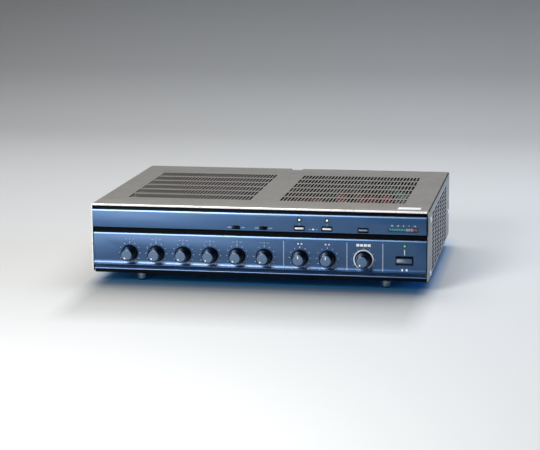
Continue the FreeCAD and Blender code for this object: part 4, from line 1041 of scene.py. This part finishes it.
for side in (-1, 1):
    pick("EDGE", lambda p, edge: at(p.x, side * (COVER_HALF - BEND)))
    bpy.ops.mesh.spin(steps=6, angle=math.pi / 2, axis=(0, -side, 0),
                      center=spot(side * (COVER_HALF - BEND), 0, COVER_TOP - BEND))
    push(0, 0, COVER_FLOOR - COVER_TOP + BEND)
for number in range(SIDE_ROWS + 1):
    saw((0, 0, SIDE_FLOOR + SIDE_ROW * number), (0, 0, 1), on_wall)
for number in range(SIDE_COLUMNS + 1):
    saw((0, SIDE_START + SIDE_STEP * number, 0), (0, 1, 0), on_wall)
side_end = SIDE_START + SIDE_STEP * SIDE_COLUMNS
side_top = SIDE_FLOOR + SIDE_ROW * SIDE_ROWS
pick("FACE", lambda p, face: on_wall(p, face) and SIDE_START < p.y < side_end
     and SIDE_FLOOR < p.z < side_top)
bpy.ops.mesh.delete(type="FACE")
leave_edit()

fields = []
for side in (-1, 1):
    fields.append(slot_field(
        slot_cell(TOP_STEP, TOP_ROW, TOP_SLOT), LIE_FLAT,
        (side * (TOP_START + TOP_STEP / 2), TOP_FRONT + TOP_ROW / 2, COVER_TOP),
        (side * TOP_STEP, 0, 0), TOP_COLUMNS, (0, TOP_ROW, 0), TOP_ROWS))
    fields.append(slot_field(
        slot_cell(SIDE_STEP, SIDE_ROW, SIDE_SLOT), STAND_ALONG,
        (side * COVER_HALF, SIDE_START + SIDE_STEP / 2, SIDE_FLOOR + SIDE_ROW / 2),
        (0, SIDE_STEP, 0), SIDE_COLUMNS, (0, 0, SIDE_ROW), SIDE_ROWS))
cover = joined("top_cover_sheet", [cover] + fields)
edit(cover)
close_edit(merge=0.02)
shaped_by(cover, "SOLIDIFY", thickness=SHEET * MM, offset=-1, use_even_offset=True)
edit(cover)
pick("EDGE", lambda p, edge: at(p.y, 0) and abs(edge.verts[0].co.y - edge.verts[1].co.y) < 1e-7
     and len(edge.link_faces) == 2 and edge.calc_face_angle(0) > 1)
bpy.ops.mesh.bevel(offset=EDGE_ROUND * MM, segments=3)
pick("VERT", lambda p, vert: p.y < EDGE_ROUND + 0.1 and abs(p.x) < COVER_HALF - BEND + 0.01
     and COVER_TOP - SHEET - 0.1 < p.z < COVER_TOP - SHEET + EDGE_ROUND + 0.1)
move(0, 0, -HEM)
leave_edit()


def facing_out(p, way):
    """How far a face of the cover at p looks away from its inside."""
    sideways = way.x * math.copysign(1, p.x)
    if abs(p.x) < COVER_HALF - BEND:
        return way.z
    return sideways if p.z < COVER_TOP - BEND else way.z + sideways


def on_front(p, way):
    return p.y < EDGE_ROUND and way.y < -0.1


grey_stoving = grained("warm_grey_stoving", (138, 134, 128), (148, 144, 138), (0.34, 0.44), 0.0, 1800)
painted_inner_shade = dulled(grained("painted_inner_shade", (2, 2, 3), (6, 6, 8), (0.55, 0.7), 0.0, 1200), 0.05)
fold_shade = dulled(grained("fold_shade", (8, 9, 16), (14, 15, 24), (0.4, 0.5), 0.0, 1200, 0.01), 0.1)
front_edge_highlight = grained("front_edge_highlight", (238, 238, 236), (252, 252, 250), (0.25, 0.35), 0.3, 1800, 0.004)
fit(cover, grey_stoving, replaces=("top_cover",))
# Painted shade: the slot walls and the sheet's inner side are painted near black.
refinish(cover, painted_inner_shade, lambda p, way: facing_out(p, way) < 0.5 and 1 < p.y < COVER_DEPTH - 0.1
         and p.z > COVER_FLOOR + 0.1 and not (abs(p.x) > COVER_HALF - BEND and abs(way.y) > 0.7))
# Painted dark reflection: a thin near-black band along the outside of each fold.
refinish(cover, fold_shade, lambda p, way: not on_front(p, way) and facing_out(p, way) > 0.5
         and abs(p.x) > COVER_HALF - BEND and p.z > COVER_TOP - BEND and 0.5 < way.z < 0.87)
# Painted highlight: the front edge is painted near white, all but the right wall's.
refinish(cover, front_edge_highlight, lambda p, way: on_front(p, way) and p.x < COVER_HALF - BEND)
screws = [cross_screw("screw", (side * COVER_HALF, y, z), "X" if side > 0 else "-X", 3.6, 1.8)
          for side in (-1, 1) for y, z in SCREW_SPOTS]
fit(joined("cover_screw_heads", screws), plated, replaces=("cover_screws",))
label_card = grained("label_card", (236, 236, 232), (250, 250, 248), (0.5, 0.6), 0.0, 1200, 0.004)
label = block("blank_label", LABEL_LOW, LABEL_HIGH)
pick("EDGE", lambda p, edge: abs(edge.verts[0].co.z - edge.verts[1].co.z) > 0.1 * MM)
bpy.ops.mesh.bevel(offset=1 * MM, segments=4)
fit(label, label_card)

# Printed marks. Scales, lines and plain figures are screen-printed in white and pale grey on both
# fascias. No words are on them: plain numbers and signs stand in the labels' places.

INK_THICK, SCALE_STEPS, SCALE_TURN, KNOB_SCALE, MASTER_SCALE = 0.05, 11, math.radians(150), 13.2, 14.2
ARC_RADIUS, ARC_WIDE, ARC_STEPS, ARC_TURN = 11.6, 1.4, 60, math.radians(148)
COVE_CUTS, COVE_CUT = 9, 0.6
LABEL_Z, MASTER_LABEL_Z, POWER_LABEL_Z, ENDS_Z = 58.3, 58.7, 29.6, AXIS_Z - 13.2
DIVIDERS, SPEAKER_SIGN_X, SIGN_DASH = (32.5, 110.6, 154.4), 69.7, 4.1
METER_FIGURES, METER_FIGURE_STEP, METER_FIGURE_Z = ("-20", "-10", "-5", "0", "+3"), 6.9, 84.6
print_white = grained("print_white", (196, 204, 216), (232, 236, 242), (0.45, 0.6), 0.0, 2500, 0.003)
print_pale = grained("print_pale", (130, 146, 172), (160, 174, 198), (0.45, 0.6), 0.0, 2500, 0.003)


def bar_mark(x, z, wide, tall, face=0, turn=0.0):
    """A printed bar, turned clockwise by an angle."""
    mark = panel("mark", 0, 0, (wide, tall), -INK_THICK, 0)
    leave_edit()
    mark.data.transform(Matrix.Translation(spot(x, face, z)) @ Matrix.Rotation(turn, 4, "Y")
                        @ Matrix.Translation(-spot(0, 0, 0)))
    return mark


def figure(text, x, z, size, face=0):
    """A printed figure or sign, centred on x, z."""
    select_nothing()
    bpy.ops.object.text_add(location=spot(x, face - INK_THICK / 2, z), rotation=(math.pi / 2, 0, 0))
    mark = bpy.context.object
    mark.data.body = text
    mark.data.align_x, mark.data.align_y = "CENTER", "CENTER"
    mark.data.size = size * MM
    mark.data.extrude = INK_THICK / 2 * MM
    mark.data.resolution_u = 3
    bpy.ops.object.convert(target="MESH")
    bpy.ops.object.transform_apply(location=True, rotation=True, scale=True)
    return bpy.context.object


def round_mark(radius, turn, wide, tall):
    """A bar on a circle round a knob's axis at x = 0, clockwise from the top."""
    return bar_mark(radius * math.sin(turn), AXIS_Z + radius * math.cos(turn), wide, tall, turn=turn)


def dial_scale(radius):
    """A ring of dashes round a knob, with a longer one at the top."""
    dashes = []
    for step in range(SCALE_STEPS):
        share = 2 * step / (SCALE_STEPS - 1) - 1
        dashes.append(round_mark(radius, SCALE_TURN * share, 0.5, 1.2 if share else 1.9))
    return joined("scale", dashes)


def across_front(marks, columns):
    """Copies of marks made round x = 0, one set at each column."""
    return copies(joined("marks", marks), [(x, 0, 0) for x in columns])


def laid_on_cove(marks):
    """Bends whatever is printed below the flat onto the cove."""
    edit(marks)
    for step in range(COVE_CUTS):
        bpy.ops.mesh.select_all(action="SELECT")
        bpy.ops.mesh.bisect(plane_co=spot(0, 0, COVE_TOP - COVE_CUT * step), plane_no=(0, 0, 1))
    leave_edit()
    for vert in marks.data.vertices:
        below = (COVE_TOP - in_mm(vert.co).z) / COVE_RADIUS
        if below > 0:
            vert.co.y -= COVE_RADIUS * (1 - math.sqrt(1 - below ** 2)) * MM
    return marks


whites = across_front([dial_scale(KNOB_SCALE)], [*INPUT_COLUMNS, BASS_X, TREBLE_X])
whites += across_front([figure("-", -9.6, ENDS_Z, 4), figure("+", 9.8, ENDS_Z, 4),
                        bar_mark(-2.1, LABEL_Z, 1.8, 1.8), bar_mark(2.1, LABEL_Z, 1.8, 1.8)],
                       (BASS_X, TREBLE_X))
pales = across_front([figure("0", -9.6, ENDS_Z, 3), figure("10", 10, ENDS_Z, 3),
                      bar_mark(-4.6, LABEL_Z, 3.4, 0.45), bar_mark(4.6, LABEL_Z, 3.4, 0.45)],
                     INPUT_COLUMNS)
pales += [figure(str(number + 1), x, LABEL_Z, 3.6) for number, x in enumerate(INPUT_COLUMNS)]
pales += across_front([dial_scale(MASTER_SCALE)], (MASTER_X,))
arc = [round_mark(ARC_RADIUS, ARC_TURN * ((2 * step + 1) / ARC_STEPS - 1), 1.1, ARC_WIDE)
       for step in range(ARC_STEPS)]
master_label = [bar_mark(4.6 * (number - 1.5), MASTER_LABEL_Z, 3.7, 3.1) for number in range(4)]
whites += across_front(arc + master_label, (MASTER_X,))
whites += [bar_mark(POWER_X, 51.2, 0.9, 7), bar_mark(POWER_X - 2.7, POWER_LABEL_Z, 2.2, 2.6),
           bar_mark(POWER_X + 2.7, POWER_LABEL_Z, 2.2, 2.6)]
pales += across_front([bar_mark(0, 44.4, 1, 34.2)], DIVIDERS)
pales += across_front([bar_mark(-8.6, SWITCH_Z, 4.4, 0.9, UPPER_FACE),
                       bar_mark(8.6, SWITCH_Z, 4.4, 0.9, UPPER_FACE)], SLIDE_X)
pales += across_front([bar_mark(0, 83.2, 0.5, 3, UPPER_FACE)], BUTTON_X[:2])
whites.append(bar_mark(SPEAKER_SIGN_X, SWITCH_Z, 2.4, 1.6, UPPER_FACE))
pales += [bar_mark(SPEAKER_SIGN_X + x, SWITCH_Z, 2.6, 0.5, UPPER_FACE)
          for x in (-SIGN_DASH, SIGN_DASH)]
whites += [figure(text, METER_X + METER_FIGURE_STEP * (number - 2), METER_FIGURE_Z, 2.4, UPPER_FACE)
           for number, text in enumerate(METER_FIGURES)]
fit(laid_on_cove(joined("printed_scales", whites)), print_white)
fit(laid_on_cove(joined("printed_lines", pales)), print_pale)
